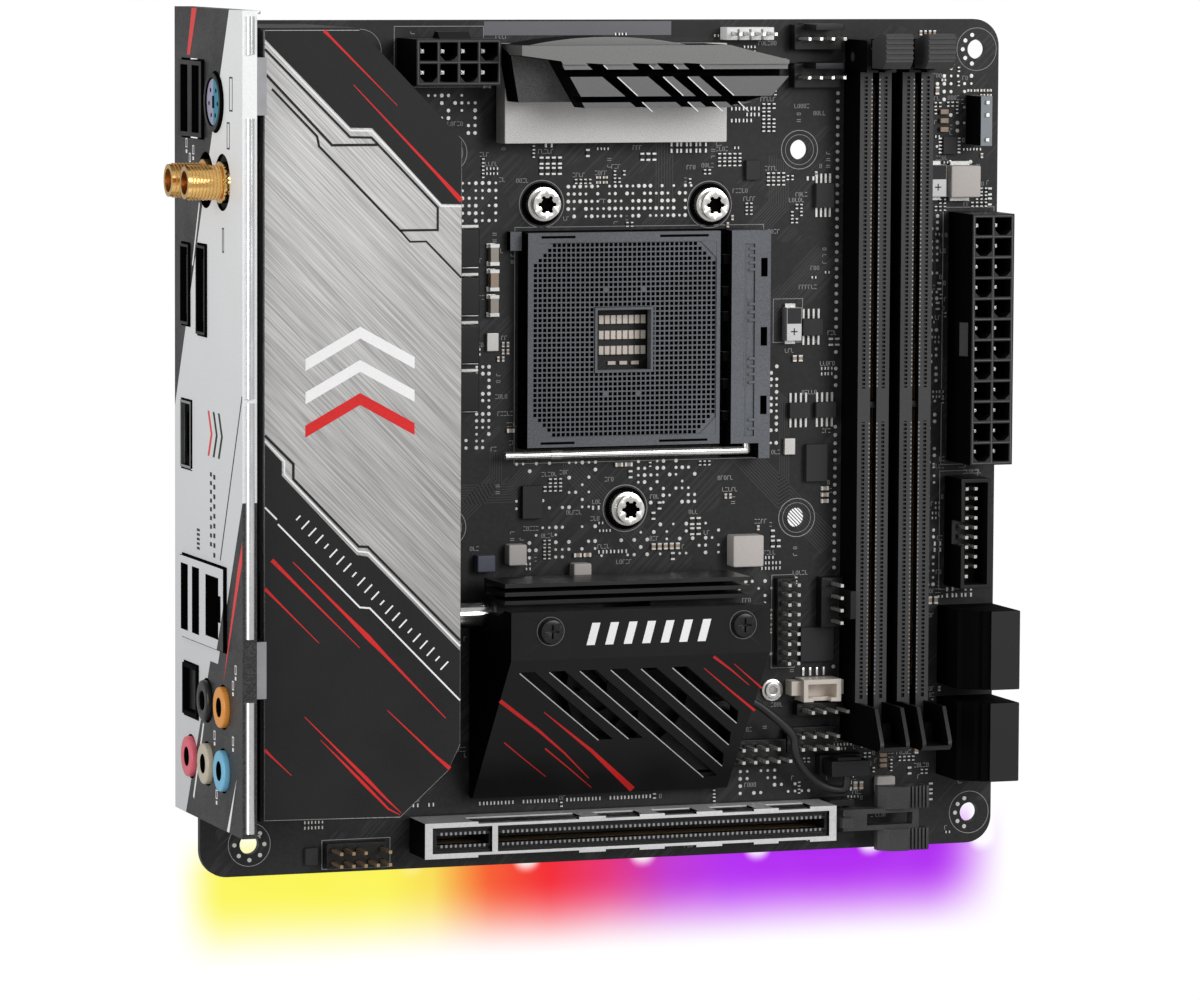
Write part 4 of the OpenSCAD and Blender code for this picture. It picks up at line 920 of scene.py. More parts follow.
def shroud_print():
    """Red streaks and painted highlight lines along the slot edges on the slope, white marks and screw
    rings on top.
    """
    level = (0.0, INK)
    top = (SLOPE_HEAD[1], SLOPE_HEAD[1] + INK)
    red = Shape(on_slope)
    for route, width, taper in SHROUD_RED_STREAKS:
        red.ribbon(route, width, *level, taper=taper)
    red.make("shroud_ink_red", PRINT_RED)
    edges = Shape(on_slope)
    for route in SHROUD_SLOT_EDGES:
        edges.ribbon(route, 0.16, *level)
    edges.make("shroud_slot_highlights", ZINC_AND_HIGHLIGHT)
    white = Shape()
    for i in range(7):
        x = 71.6 + i * 3.9
        white.prism([(x, 47.2), (x + 1.7, 47.2), (x + 2.9, 51.6), (x + 1.2, 51.6)], *top)
    white.make("shroud_ink_white", PRINT_WHITE)
    rings = Shape()
    for spot in ((64.1, 50.2), (104.7, 50.2)):
        rings.band(spot, 2.75, 2.9, *top, 40)
    rings.make("shroud_screw_rings", OUTLINE)


CELL_PITCH = 4.2
CELL_RIM = 0.4
CELL_LINE = 0.06
POWER_TOP = 12.8

# x and y of each power socket's corner, and its cells along x and y
POWER_SOCKETS = [(159.3, 79.5, 2, 12), (40.6, 157.3, 4, 2)]


def power_sockets():
    """Painted highlights in thin grey lines along the edges round the cells of the two power sockets, and
    a bright pin tip in each.
    """
    lines = Shape()
    tips = Shape()
    level = (POWER_TOP, POWER_TOP + INK)
    for x, y, across, up in POWER_SOCKETS:
        columns = [x + CELL_RIM + i * CELL_PITCH for i in range(across + 1)]
        levels = [y + CELL_RIM + j * CELL_PITCH for j in range(up + 1)]
        for at in columns:
            lines.box((at - CELL_LINE, at + CELL_LINE), (levels[0], levels[-1]), level)
        for at in levels:
            lines.box((columns[0], columns[-1]), (at - CELL_LINE, at + CELL_LINE), level)
        for a in columns[:-1]:
            for b in levels[:-1]:
                spot = (a + CELL_PITCH / 2, b + CELL_PITCH / 2)
                tips.prism(square(*spot, 0.36), 7.4, 8.8)
                tips.prism(square(*spot, 0.2), 8.8, 9.1)
    lines.make("power_socket_edge_highlights", OUTLINE, slot="black_plastic")
    tips.make("power_pin_tips", BRIGHT_PIN, slot="gold_pins")


def heatsink_edges():
    """Painted highlights: bright lines along the right-hand side of the heatsink's slanting cuts."""
    edges = Shape()
    for x in (72.7, 82.3, 87.5, 93.0):
        for y0, y1, z in ((161.5, 160.7, 21.3), (159.1, 155.4, 22.0), (154.1, 152.2, 20.6)):
            route = [(x + 5.1 + (160.4 - y) * 1.143, y) for y in (y0, y1)]
            edges.ribbon(route, 0.2, z, z + INK)
    edges.make("heatsink_painted_highlights", ZINC_AND_HIGHLIGHT, slot="bead_blasted")


plate_print()
panel_print()
shroud_print()
power_sockets()
heatsink_edges()


# ---- processor socket's plate, with its grid of pin holes

PLATE_X = (66.6, 107.6)
PLATE_Y = (84.6, 127.6)
PLATE_Z = (2.8, 4.6)
RIM_Z = 5.0
GRID = 39
GRID_PITCH = 1.0
GRID_FIRST = (68.3, 87.1)
HOLE_HALF = 0.35
HOLE_DEPTH = 0.9
WINDOW = ((81.4, 92.8), (99.9, 112.0))
CORNER_CUT = 4
GRID_GAPS = ((15, 29), (23, 29), (15, 8), (22, 8))


def grid_state(i, j):
    """"window" in the middle opening, "land" where there is no hole, else "hole"."""
    x = GRID_FIRST[0] + i * GRID_PITCH
    y = GRID_FIRST[1] + j * GRID_PITCH
    (x0, x1), (y0, y1) = WINDOW
    if x0 - 0.2 < x < x1 + 0.2 and y0 - 0.2 < y < y1 + 0.2:
        return "window"
    near = (min(i, GRID - 1 - i), min(j, GRID - 1 - j))
    if sum(near) < CORNER_CUT or (i, j) in GRID_GAPS:
        return "land"
    return "hole"


def pin_hole(plate, outer, inner):
    """A square of the plate's top round a square hole, whose walls and floor are painted shade in deep
    black.
    """
    top = PLATE_Z[1]
    floor = top - HOLE_DEPTH
    for k in range(4):
        m = (k + 1) % 4
        plate.face([(*outer[k], top), (*outer[m], top), (*inner[m], top), (*inner[k], top)])
        plate.face([(*inner[k], top), (*inner[m], top), (*inner[m], floor), (*inner[k], floor)], 1)
    plate.face([(*p, floor) for p in inner], 1)


def pin_grid(plate):
    """Holes and lands over the plate's top, with nothing over its window."""
    for i in range(GRID):
        for j in range(GRID):
            state = grid_state(i, j)
            x = GRID_FIRST[0] + i * GRID_PITCH
            y = GRID_FIRST[1] + j * GRID_PITCH
            outer = square(x, y, GRID_PITCH / 2)
            if state == "hole":
                pin_hole(plate, outer, square(x, y, HOLE_HALF))
            elif state == "land":
                plate.face([(*p, PLATE_Z[1]) for p in outer])


def plate_rim(plate):
    """The raised rim, the window's walls, the printed bars and the three-sided corners."""
    low = GRID_FIRST[0] - GRID_PITCH / 2, GRID_FIRST[1] - GRID_PITCH / 2
    high = low[0] + GRID * GRID_PITCH, low[1] + GRID * GRID_PITCH
    plate.border(PLATE_X, PLATE_Y, (low[0], high[0]), (low[1], high[1]), (PLATE_Z[0], RIM_Z))
    (x0, x1), (y0, y1) = WINDOW
    wall = 0.5
    step = RIM_Z - 0.1
    plate.border((x0 - wall, x1 + wall), (y0 - wall, y1 + wall), *WINDOW, (PLATE_Z[0], step))
    for y in ((126.5, 127.0), (85.2, 85.7)):
        for x in ((69.4, 76.6), (94.6, 105.0)):
            plate.box(x, y, (RIM_Z, RIM_Z + 0.02), 1)
    reach = CORNER_CUT - 0.6
    for x, side_x in ((low[0], reach), (high[0], -reach)):
        for y, side_y in ((low[1], reach), (high[1], -reach)):
            plate.prism([(x, y), (x + side_x, y), (x, y + side_y)], PLATE_Z[1], step)


def plate_face(centre, normal, slot):
    """Dark on the side that the rest of the socket shades, else as it was made."""
    return 1 if normal[0] < -0.9 and centre[0] < PLATE_X[0] + 0.1 else slot


def socket_plate():
    """The plate with its pin holes, which slides with the lever."""
    plate = Shape()
    pin_grid(plate)
    plate_rim(plate)
    plate.make(
        "socket_pin_plate",
        SOCKET,
        DARK,
        body="socket_plate",
        slot="socket_plastic",
        replaces=("cpu_socket_plate",),
        choose=plate_face,
    )


CAM_BOX_TOP = 6.2
CAM_BARS_Y = (124.0, 122.6, 121.2, 119.8, 112.8, 111.2, 109.6, 101.8, 100.2, 98.6, 97.0, 89.4, 87.6)


def socket_marks():
    """Raised bars on the cam box, and painted shade: a deep black sheet in the channel between it and the
    plate.
    """
    marks = Shape()
    for y in CAM_BARS_Y:
        marks.box((113.4, 115.0), (y - 0.25, y + 0.25), (CAM_BOX_TOP, CAM_BOX_TOP + 0.08))
    marks.box((112.3, 112.6), (96.4, 114.2), (CAM_BOX_TOP, CAM_BOX_TOP + 0.06))
    marks.make("cam_box_marks", SOCKET, slot="socket_plastic")
    channel = Shape()
    channel.box((107.7, 109.5), (84.6, 127.4), (2.5, 2.56))
    channel.make("socket_channel_shade", DARK, slot="socket_plastic")


socket_plate()
socket_marks()


# ---- sockets' fine parts

DIMM_X = (139.4, 148.6)
DIMM_KEY = (88.6, 95.4)
DIMM_ROWS = (33.0, 158.0)
RUNG_X = 2.15
RUNG_Z = (8.5, 9.0)
RUNG_PITCH = 0.85


def memory_details():
    """Rungs down both sides of each memory socket, with contact tips, and its solid key."""
    rungs = Shape()
    tips = Shape()
    for c in DIMM_X:
        for side in (-1, 1):
            x = c + side * RUNG_X
            rungs.box((x - 0.36, x + 0.36), DIMM_KEY, RUNG_Z)
            for y in rows(*DIMM_ROWS, RUNG_PITCH):
                if DIMM_KEY[0] < y < DIMM_KEY[1]:
                    continue
                rungs.box((x - 0.35, x + 0.35), (y - 0.16, y + 0.16), RUNG_Z)
                tips.box((c + side * 0.72, c + side * 0.98), (y - 0.14, y + 0.14), (8.96, 9.02))
    rungs.make("memory_socket_rungs", RUNG, slot="black_plastic")
    tips.make("memory_socket_tips", TAB, slot="gold_pins")


EXPANSION_Y = 7.0
EXPANSION_KEY = (56.4, 59.6)
EXPANSION_ROWS = (47.0, 128.6)


def expansion_details():
    """Contact tips down both sides of the expansion slot, but not at its key."""
    tips = Shape()
    for x in rows(*EXPANSION_ROWS, 1.0):
        if EXPANSION_KEY[0] < x < EXPANSION_KEY[1]:
            continue
        for side in (-1, 1):
            y = EXPANSION_Y + side * 1.25
            tips.box((x - 0.22, x + 0.22), (y - 0.28, y + 0.28), (10.0, 10.45))
    tips.make("expansion_slot_tips", TAB, slot="gold_pins")


# y and z of the antenna jacks, x of their mouths, and the pitch and radii of their threads
JACKS = ((139.5, 18.0), (139.5, 29.5))
JACK_MOUTH = -10.7
THREAD_PITCH = 0.68
THREAD_STEP = 0.12
THREAD_CORE = 3.0
THREAD_RADII = (3.25, 3.4, 3.25)


def facing_ports(a, b, c):
    """a is y, b is z and c is x."""
    return (c, a, b)


def jack_threads():
    """Ridges round the antenna jacks, each in three steps."""
    ridges = Shape(facing_ports)
    for spot in JACKS:
        for i in range(9):
            for step, outer in enumerate(THREAD_RADII):
                x = JACK_MOUTH + i * THREAD_PITCH + step * THREAD_STEP
                ridges.band(spot, THREAD_CORE, outer, x, x + THREAD_STEP, sides=28)
    ridges.make("antenna_jack_threads", GOLD, slot="brass")


# y and z of the keyboard port's middle, its radius, and the radius on which its pins stand
KEYBOARD = (154.8, 24.6)
KEYBOARD_R = 4.5
KEYBOARD_PINS = 2.9


def keyboard_port():
    """The round port's two-colour face, with its six pin holes and its key as shallow spots of painted
    shade in deep black.
    """
    face = Shape(facing_ports)
    hole = (-4.33, -4.28)
    for slot, start in ((0, math.pi), (1, 0)):
        half = [around(KEYBOARD, KEYBOARD_R, start + math.pi * k / 16) for k in range(17)]
        face.prism(half, -4.3, -4.0, slot)
    for k in range(6):
        face.disc(around(KEYBOARD, KEYBOARD_PINS, math.radians(40 + k * 56)), 0.45, *hole, 10, 2)
    y, z = KEYBOARD
    face.box((y - 1.2, y + 1.2), (z - 0.7, z + 0.7), hole, 2)
    face.make("keyboard_port_face", LILAC, TEAL, DARK, slot="tongue_blue")


memory_details()
expansion_details()
jack_threads()
keyboard_port()


# ---- fan lead

CABLE_ROUTE = [(102.4, 33, 5.4), (106, 33, 5.4), (111, 33.2, 5.6), (115, 32, 6.4), (118.5, 29.3, 7),
               (121.4, 26.8, 7.2), (123.6, 24.6, 7.2), (123.6, 21.4, 7.2), (125.4, 18.2, 6.4),
               (128.6, 15, 5.4), (132, 13.2, 5.2), (135.4, 12.8, 5.6), (135.6, 14.4, 6), (135.6, 16, 6)]
CABLE_R = 0.9


def fan_lead():
    """The fan's sleeved lead, from its cover to its plug."""
    curve = bpy.data.curves.new("fan_lead", "CURVE")
    curve.dimensions = "3D"
    curve.bevel_depth = CABLE_R * MM
    curve.bevel_resolution = 4
    curve.resolution_u = 6
    line = curve.splines.new("NURBS")
    line.points.add(len(CABLE_ROUTE) - 1)
    for point, spot in zip(line.points, CABLE_ROUTE):
        point.co = (*place(*spot), 1)
    line.order_u = 3
    line.use_endpoint_u = True
    curve.use_fill_caps = True
    curve.materials.append(SLEEVE)
    lead = add_object("fan_lead", curve)
    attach(lead, "board")
    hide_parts("fan_cable")


fan_lead()


# ---------------------------------------------------------------- small parts on the board


def board_tree():
    """Everything that stands on the board, for finding free ground."""
    points = []
    faces = []
    for name, node in NODES.items():
        if name == "pcb":
            continue
        first = len(points)
        points += [v.co.copy() for v in node.data.vertices]
        faces += [tuple(first + k for k in f.vertices) for f in node.data.polygons]
    return BVHTree.FromPolygons(points, faces)


STANDING = board_tree()
HOLES = [(10.16, 6.35), (165.1, 6.35), (165.1, 163.83), (33.02, 163.83)]
COOLER_HOLES = [(51.4, 68.6), (126.4, 68.6), (51.4, 143.6), (126.4, 143.6)]
BOARD_MARGIN = 1.2

# Bare ground round the holes and screws and inside the socket's window: x, y and radius
TAKEN = (
    [(x, y, 5.2) for x, y in HOLES + COOLER_HOLES]
    + [(x, y, 5.0) for x, y in SOCKET_SCREWS]
    + [(90, 103, 12)]
)


def free(x, y, half_x, half_y):
    """Whether nine plumb lines round a small rectangle reach the board's component side."""
    for at, half in ((x, half_x), (y, half_y)):
        if not BOARD_MARGIN + half < at < BOARD_SIDE - BOARD_MARGIN - half:
            return False
    if any(math.hypot(x - a, y - b) < r + max(half_x, half_y) for a, b, r in TAKEN):
        return False
    start = 60
    gap = 0.25
    for dx in (-1, 0, 1):
        for dy in (-1, 0, 1):
            spot = place(x + dx * (half_x + gap), y + dy * (half_y + gap), start)
            if STANDING.ray_cast(spot, Vector((0, 0, -1)), (start + 0.05) * MM)[0] is not None:
                return False
    return True


class Parts:
    """Small surface parts, sorted by kind and made as a few pieces."""

    CELL = 3

    def __init__(self, seed):
        self.dice = random.Random(seed)
        self.chips = Shape()
        self.dots = Shape()
        self.silk = Shape()
        self.spots = {}

    def cell(self, x, y):
        """The square of a 3 mm grid that a point falls in."""
        return int(x // self.CELL), int(y // self.CELL)

    def clear(self, x, y, half_x, half_y):
        """Whether no small part has been put here yet."""
        column, row = self.cell(x, y)
        for i in (column - 1, column, column + 1):
            for j in (row - 1, row, row + 1):
                for a, b, hx, hy in self.spots.get((i, j), ()):
                    if abs(a - x) < hx + half_x + 0.12 and abs(b - y) < hy + half_y + 0.12:
                        return False
        return True

    def claim(self, x, y, half_x, half_y):
        self.spots.setdefault(self.cell(x, y), []).append((x, y, half_x, half_y))

    def chip(self, x, y, upright, long, wide, kind):
        """A chip resistor (kind 0) or capacitor (kind 1) with two tinned ends."""
        half_x, half_y = (wide / 2, long / 2) if upright else (long / 2, wide / 2)
        if not (self.clear(x, y, half_x, half_y) and free(x, y, half_x, half_y)):
            return
        self.claim(x, y, half_x, half_y)
        high = 0.3 if kind == 0 else wide * 0.85
        end = long * 0.24
        core = long / 2 - end

        def block(start, stop, half, top, slot):
            """A block from start to stop along the chip, and half wide to each side."""
            a, b = ((-half, half), (start, stop)) if upright else ((start, stop), (-half, half))
            self.chips.box((x + a[0], x + a[1]), (y + b[0], y + b[1]), (0, top), slot)

        block(-long / 2, -core, wide / 2, high + 0.03, 2)
        block(core, long / 2, wide / 2, high + 0.03, 2)
        block(-core, core, wide / 2 * 0.94, high, kind)

    def dot(self, x, y, r):
        """A low solder dot in two steps."""
        if self.clear(x, y, r, r) and free(x, y, r * 0.6, r * 0.6):
            self.claim(x, y, r, r)
            self.dots.disc((x, y), r, 0, 0.072, 8)
            self.dots.disc((x, y), r * 0.65, 0.072, 0.12, 8)

    def word(self, x, y, marks, upright=False):
        """A row of tiny strokes where the board has printed designators."""
        size = 0.9
        step = size * 0.75
        for i in range(marks):
            a, b = (x, y - i * step) if upright else (x + i * step, y)
            if not (self.clear(a, b, 0.3, size / 2) and free(a, b, 0.3, size / 2)):
                continue
            self.claim(a, b, 0.2, size / 2)
            half_x, half_y = (size / 2, 0.26) if upright else (0.26, size / 2)
            self.strokes(self.dice.randrange(4), a, b, half_x, half_y)

    def strokes(self, pick, x, y, half_x, half_y):
        """Some sides of a small rectangle, as pick says: like a letter, but none."""
        thick = 0.13
        left, right, low, high = x - half_x, x + half_x, y - half_y, y + half_y
        if pick != 1:
            self.silk.box((left, left + thick), (low, high), PRINT_LEVEL)
        if pick != 2:
            self.silk.box((left, right), (high - thick, high), PRINT_LEVEL)
        if pick > 0:
            self.silk.box((left, right), (low, low + thick), PRINT_LEVEL)
        if pick == 3:
            self.silk.box((right - thick, right), (low, high), PRINT_LEVEL)

    def cluster(self, x, y, nx, ny, upright, long, wide, kind):
        """A block of equal chips side by side, with a printed word beside it."""
        step_x, step_y = (wide + 0.5, long + 0.45) if upright else (long + 0.45, wide + 0.5)
        for i in range(nx):
            for j in range(ny):
                if self.dice.random() < 0.88:
                    self.chip(x + i * step_x, y - j * step_y, upright, long, wide, kind)
        self.word(x - 0.4, y + step_y * 0.9, self.dice.randint(3, 5))

    def make(self):
        self.chips.make("small_chips", CHIP, CERAMIC, TIN, slot="ceramic")
        self.dots.make("solder_dots", TIN, slot="gold_pins")
        self.silk.make("printed_marks", SILK, slot="board")


def ring_marks(parts):
    """Solder dots beside the case holes, all round the one by the ports, and printed rings."""
    for spot in HOLES:
        whole = spot == HOLES[0]
        for k in range(8 if whole else 5):
            turn = math.radians(45 * k if whole else 110 + 35 * k)
            parts.dots.disc(around(spot, 3.1, turn), 0.45, 0, 0.12, 8)
        parts.silk.band(spot, 4.3, 4.42, *PRINT_LEVEL, 40)
    for spot in COOLER_HOLES:
        parts.silk.band(spot, 3.0, 3.1, *PRINT_LEVEL, 40)
        parts.silk.band(spot, 3.85, 4.0, *PRINT_LEVEL, 40)
    gaps = Shape()
    for spot in SOCKET_SCREWS:
        parts.silk.band(spot, 4.65, 4.8, *PRINT_LEVEL, 40)
        gaps.band(spot, 3.3, 4.3, 0, 0.02, 40)
    gaps.make("screw_clearance_rings", DARK, slot="board")


# x from and to, y from and to, pitch along x and y, and the share of the dots that are there
DOT_FIELDS = [
    (75.5, 103.0, 130.6, 137.6, 1.25, 1.5, 0.86),
    (53.0, 62.0, 130.0, 137.5, 1.4, 1.5, 0.8),
    (57.5, 61.0, 84.5, 101.5, 1.3, 1.35, 0.85),
    (52.5, 57.0, 84.5, 98.0, 1.4, 1.5, 0.6),
    (119.4, 122.6, 84.0, 100.5, 1.2, 1.3, 0.8),
    (92.0, 105.0, 72.5, 82.0, 1.35, 1.4, 0.5),
    (66.0, 84.0, 72.0, 82.0, 1.4, 1.5, 0.45),
    (66.0, 112.0, 62.0, 69.0, 1.4, 1.5, 0.4),
    (114.5, 134.0, 10.8, 17.8, 1.5, 1.5, 0.6),
    (114.0, 122.5, 34.8, 56.0, 1.4, 1.5, 0.4),
    (153.2, 157.2, 96.0, 130.0, 1.2, 1.3, 0.55),
    (153.0, 157.2, 54.0, 92.0, 1.2, 1.4, 0.45),
    (153.5, 164.0, 136.0, 160.0, 1.5, 1.6, 0.4),
    (43.0, 58.0, 146.0, 155.5, 1.4, 1.5, 0.5),
]


def solder_fields(parts):
    """The grids and rows of solder dots that the layout shows."""
    for x0, x1, y0, y1, pitch_x, pitch_y, keep in DOT_FIELDS:
        for x in rows(x0, x1, pitch_x):
            for y in rows(y0, y1, pitch_y):
                if parts.dice.random() < keep:
                    parts.dot(x, y, parts.dice.choice((0.28, 0.34, 0.4)))
    for y in rows(32.6, 158.4, 1.7):
        if not 88.0 < y < 94.0:
            parts.dot(134.7, y, 0.4)
            parts.dot(144.0, y, 0.4)


# x from and to, y from and to, legs on a side, and the axis they point along
LEGGED = [
    (126.9, 131.3, 105.8, 109.3, 4, "y"),
    (124.2, 128.7, 89.0, 92.2, 4, "y"),
    (130.0, 134.4, 89.0, 92.2, 4, "y"),
    (129.6, 133.5, 131.8, 136.8, 4, "y"),
    (157.6, 160.8, 142.4, 146.0, 5, "x"),
]


# x and y spans of the feet under the polymer cans and crystals
CAN_LEGS = [
    ((123.2, 125.4), (104.2, 104.9)),
    ((123.2, 125.4), (111.7, 112.4)),
    ((154.4, 157.0), (133.1, 133.8)),
    ((154.4, 157.0), (140.4, 141.1)),
    ((159.2, 163.4), (132.9, 133.7)),
    ((159.2, 163.4), (140.2, 141.0)),
]


def chip_legs():
    """Tinned legs of the small packages, the cores and the cans."""
    legs = Shape()
    for x0, x1, y0, y1, count, axis in LEGGED:
        for i in range(count):
            t = (i + 0.5) / count
            if axis == "y":
                x = x0 + (x1 - x0) * t
                spans = [((x - 0.2, x + 0.2), (y1, y1 + 1.9)), ((x - 0.2, x + 0.2), (y0 - 1.9, y0))]
            else:
                y = y0 + (y1 - y0) * t
                spans = [((x1, x1 + 0.8), (y - 0.15, y + 0.15)), ((x0 - 0.8, x0), (y - 0.15, y + 0.15))]
            for span_x, span_y in spans:
                legs.box(span_x, span_y, (0, 0.35))

    # End plates of the power stage's chokes
    for i in range(4):
        y = 92.3 + i * 9.6
        for span_y in ((y - 0.5, y), (y + 7.6, y + 8.1)):
            legs.box((50, 57.4), span_y, (0, 1.2))

    # Ends of the three small cores
    for y in (121.4, 116.3, 111.2):
        for end in (y - 0.45, y + 3.15):
            legs.box((59.4, 61.2), (end, end + 0.9), (0, 0.5))
            legs.box((59.8, 61.7), (end + 0.1, end + 0.8), (0, 1.66))
    for x, y in CAN_LEGS:
        legs.box(x, y, (0, 0.9))
    legs.make("package_legs", TIN, slot="gold_pins")


def can_marks():
    """A dark bar and a cross on top of each polymer can."""
    marks = Shape()
    for x0, x1, y0, y1, z in ((123.0, 126.0, 108.4, 111.6, 2.8), (154.0, 157.5, 137.4, 140.3, 2.8)):
        marks.box((x0, x1), (y0, y1), (z, z + 0.03))
        x, y = (x0 + x1) / 2, y0 - 1.6
        marks.box((x - 0.7, x + 0.7), (y - 0.12, y + 0.12), (z, z + 0.03))
        marks.box((x - 0.12, x + 0.12), (y - 0.7, y + 0.7), (z, z + 0.03))
    marks.make("can_marks", CHIP, slot="chip_black")


# x and y of the first chip, how many along x and y, upright, length, width and kind
CHIP_ROWS = [
    (124.2, 101.2, 3, 1, True, 1.3, 0.8, 1),
    (133.5, 104.4, 3, 1, True, 1.6, 0.9, 0),
    (131.9, 99.0, 2, 2, False, 1.0, 0.6, 0),
    (119.6, 138.5, 4, 2, True, 1.1, 0.6, 0),
    (109.0, 142.5, 5, 2, True, 1.1, 0.6, 0),
    (112.0, 152.0, 4, 3, False, 1.2, 0.7, 0),
    (118.5, 152.5, 3, 4, True, 1.1, 0.6, 0),
    (72.0, 77.4, 4, 2, True, 1.1, 0.6, 0),
    (95.2, 63.6, 5, 1, True, 1.3, 0.8, 1),
    (84.0, 62.8, 4, 1, False, 1.2, 0.7, 0),
    (103.6, 68.5, 2, 2, True, 1.6, 0.9, 0),
    (119.2, 60.6, 3, 3, False, 1.1, 0.6, 0),
    (44.8, 12.8, 4, 1, False, 1.2, 0.7, 0),
    (58.8, 12.6, 24, 1, False, 1.1, 0.7, 0),
    (87.0, 12.6, 9, 1, True, 1.1, 0.6, 0),
    (44.0, 24.0, 3, 3, True, 1.2, 0.7, 0),
    (43.6, 36.0, 3, 5, True, 1.2, 0.7, 0),
    (44.0, 78.0, 3, 4, True, 1.2, 0.7, 0),
    (43.6, 100.0, 2, 6, True, 1.2, 0.7, 0),
    (43.6, 120.0, 2, 5, True, 1.2, 0.7, 0),
    (153.5, 135.0, 1, 1, False, 1.2, 0.7, 0),
    (157.6, 76.5, 5, 1, True, 1.6, 0.9, 0),
    (22.0, 11.4, 3, 3, False, 1.0, 0.6, 0),
    (3.5, 12.4, 3, 1, False, 1.2, 0.7, 0),
]


def explicit_groups(parts):
    """Rows of chips that stand where the layout shows them."""
    for row in CHIP_ROWS:
        parts.cluster(*row)


def scattered_groups(parts, count):
    """More groups, at random, over all the free ground and closer in three crowded zones."""
    dice = parts.dice
    zones = (
        [(42, 168, 2, 168)] * count
        + [(153, 169, 134, 168)] * 40
        + [(153, 160, 52, 132)] * 30
        + [(126, 153, 2, 26)] * 60
    )
    for x0, x1, y0, y1 in zones:
        x = dice.uniform(x0, x1)
        y = dice.uniform(y0, y1)
        upright = dice.random() < 0.5
        long, wide = dice.choice(((1.0, 0.5), (1.0, 0.5), (1.6, 0.8)))
        kind = 1 if dice.random() < 0.22 else 0
        parts.cluster(x, y, dice.randint(1, 4), dice.randint(1, 3), upright, long, wide, kind)
    for _ in range(count):
        parts.word(dice.uniform(42, 168), dice.uniform(2, 168), dice.randint(3, 6), dice.random() < 0.3)


# Start, bend and end of the first track, how many there are, and their pitch
TRACK_BUNDLES = [
    ((118.4, 126.0), (124.0, 131.6), (124.0, 141.0), 9, 0.55),
    ((118.6, 106.0), (124.5, 112.0), (133.6, 121.0), 8, 0.55),
    ((118.4, 96.0), (122.6, 92.0), (122.6, 70.0), 5, 0.5),
    ((112.0, 81.0), (119.0, 74.0), (132.0, 61.0), 10, 0.55),
    ((70.0, 83.0), (64.0, 77.0), (52.0, 77.0), 8, 0.55),
    ((96.0, 128.2), (99.0, 131.2), (99.0, 144.8), 7, 0.6),
    ((57.0, 137.0), (49.0, 129.0), (49.0, 96.0), 9, 0.6),
    ((60.4, 84.4), (60.4, 79.0), (47.0, 66.0), 6, 0.6),
    ((76.0, 82.0), (76.0, 78.6), (92.0, 62.6), 8, 0.6),
    ((116.0, 58.0), (121.0, 53.0), (121.0, 40.0), 5, 0.5),
    ((154.2, 132.0), (154.2, 110.0), (157.0, 96.0), 5, 0.55),
    ((42.8, 12.4), (30.0, 12.4), (12.0, 12.4), 3, 0.6),
]


def tracks():
    """Bundles of buried tracks, seen as faint raised lines."""
    copper = Shape()
    for start, middle, end, count, pitch in TRACK_BUNDLES:
        way = (Vector(end) - Vector(start)).normalized()
        side = Vector((-way.y, way.x)) * pitch
        for k in range(count):
            shift = side * k
            copper.ribbon([tuple(Vector(p) + shift) for p in (start, middle, end)], 0.2, 0, 0.012)
    copper.make("board_tracks", TRACK, slot="board")


def outlines(parts):
    """Printed outlines round the main parts."""
    for x, y in (
        ((65.4, 118.8), (81.0, 128.6)),
        ((40.0, 58.8), (156.6, 168.8)),
        ((158.0, 169.4), (78.6, 131.6)),
        ((157.8, 166.4), (52.8, 77.4)),
        ((121.0, 126.2), (37.8, 57.0)),
        ((25.2, 39.6), (0.6, 6.6)),
        ((120.9, 127.4), (104.4, 113.4)),
    ):
        frame_lines(parts.silk, x, y, 0.14, PRINT_LEVEL)


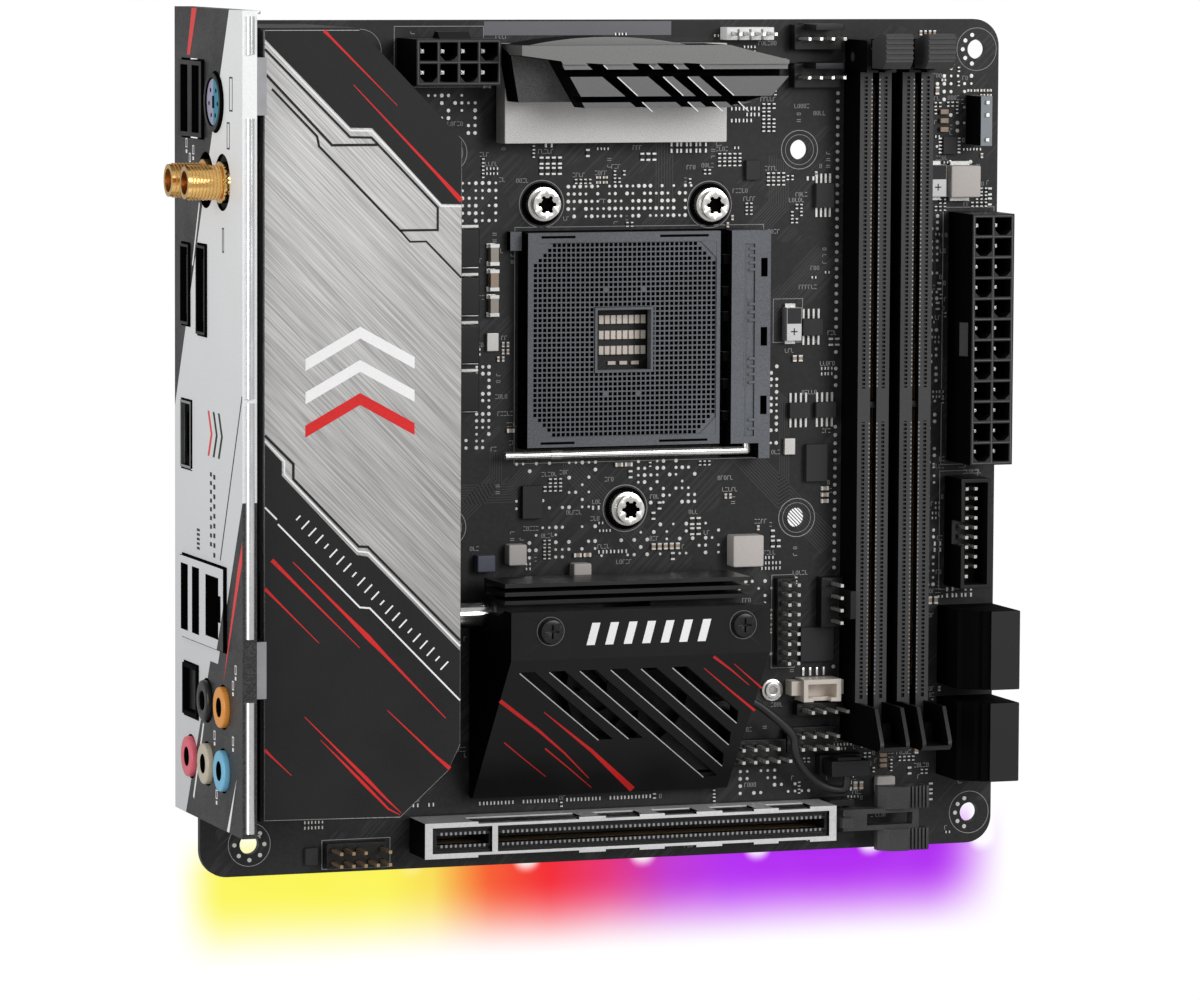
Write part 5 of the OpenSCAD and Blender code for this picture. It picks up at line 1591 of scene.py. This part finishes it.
def sticker():
    """A blank grey label with a dark end."""
    label = Shape()
    label.box((58.8, 98.5), (166.9, 169.7), (0, 0.08))
    label.box((98.6, 109.0), (166.4, 169.7), (0, 0.03), 1)
    label.make("plain_label", STICKER, PALE_BLACK_AND_LIT_TOPS, slot="white_plastic")


def build_small_parts():
    parts = Parts(20)
    ring_marks(parts)
    outlines(parts)
    chip_legs()
    can_marks()
    explicit_groups(parts)
    solder_fields(parts)
    scattered_groups(parts, 260)
    tracks()
    parts.make()
    sticker()


build_small_parts()


# ---------------------------------------------------------------- floor and light


def add_floor():
    """A wide plane just under the board, which lights nothing and is not mirrored."""
    half = 3.0
    mesh = bpy.data.meshes.new("floor")
    level = -0.0002
    corners = [(-half, -half, level), (half, -half, level), (half, half, level), (-half, half, level)]
    mesh.from_pydata(corners, [], [(0, 1, 2, 3)])
    mesh.materials.append(floor_finish())
    floor = add_object("floor", mesh)
    floor.visible_diffuse = False
    floor.visible_glossy = False


def add_area(name, spot, aim, size, watts):
    """A square lamp at a spot, turned to face its aim."""
    data = bpy.data.lights.new(name, "AREA")
    data.shape = "SQUARE"
    data.size = size
    data.energy = watts
    lamp = add_object(name, data)
    spot = Vector(spot)
    turn = (Vector(aim) - spot).to_track_quat("-Z", "Y").to_matrix().to_4x4()
    lamp.matrix_world = Matrix.Translation(spot) @ turn


def add_lights():
    """An even sky, and three soft lamps: by the far corner, the port side and the lower edge."""
    world = bpy.data.worlds.new("world")
    world.use_nodes = True
    sky = world.node_tree.nodes["Background"]
    sky.inputs["Color"].default_value = (1, 1, 1, 1)
    sky.inputs["Strength"].default_value = 0.45
    bpy.context.scene.world = world
    bpy.context.scene.view_settings.view_transform = "Standard"
    add_area("key", (0.55, 0.45, 1.15), (0, 0, 0), 0.6, 7)
    add_area("panel_fill", (-1.1, 0.15, 0.55), (-0.08, 0, 0.02), 0.8, 7)
    add_area("front", (0.1, -1.0, 0.8), (0, 0, 0), 0.8, 1.2)


add_floor()
add_lights()
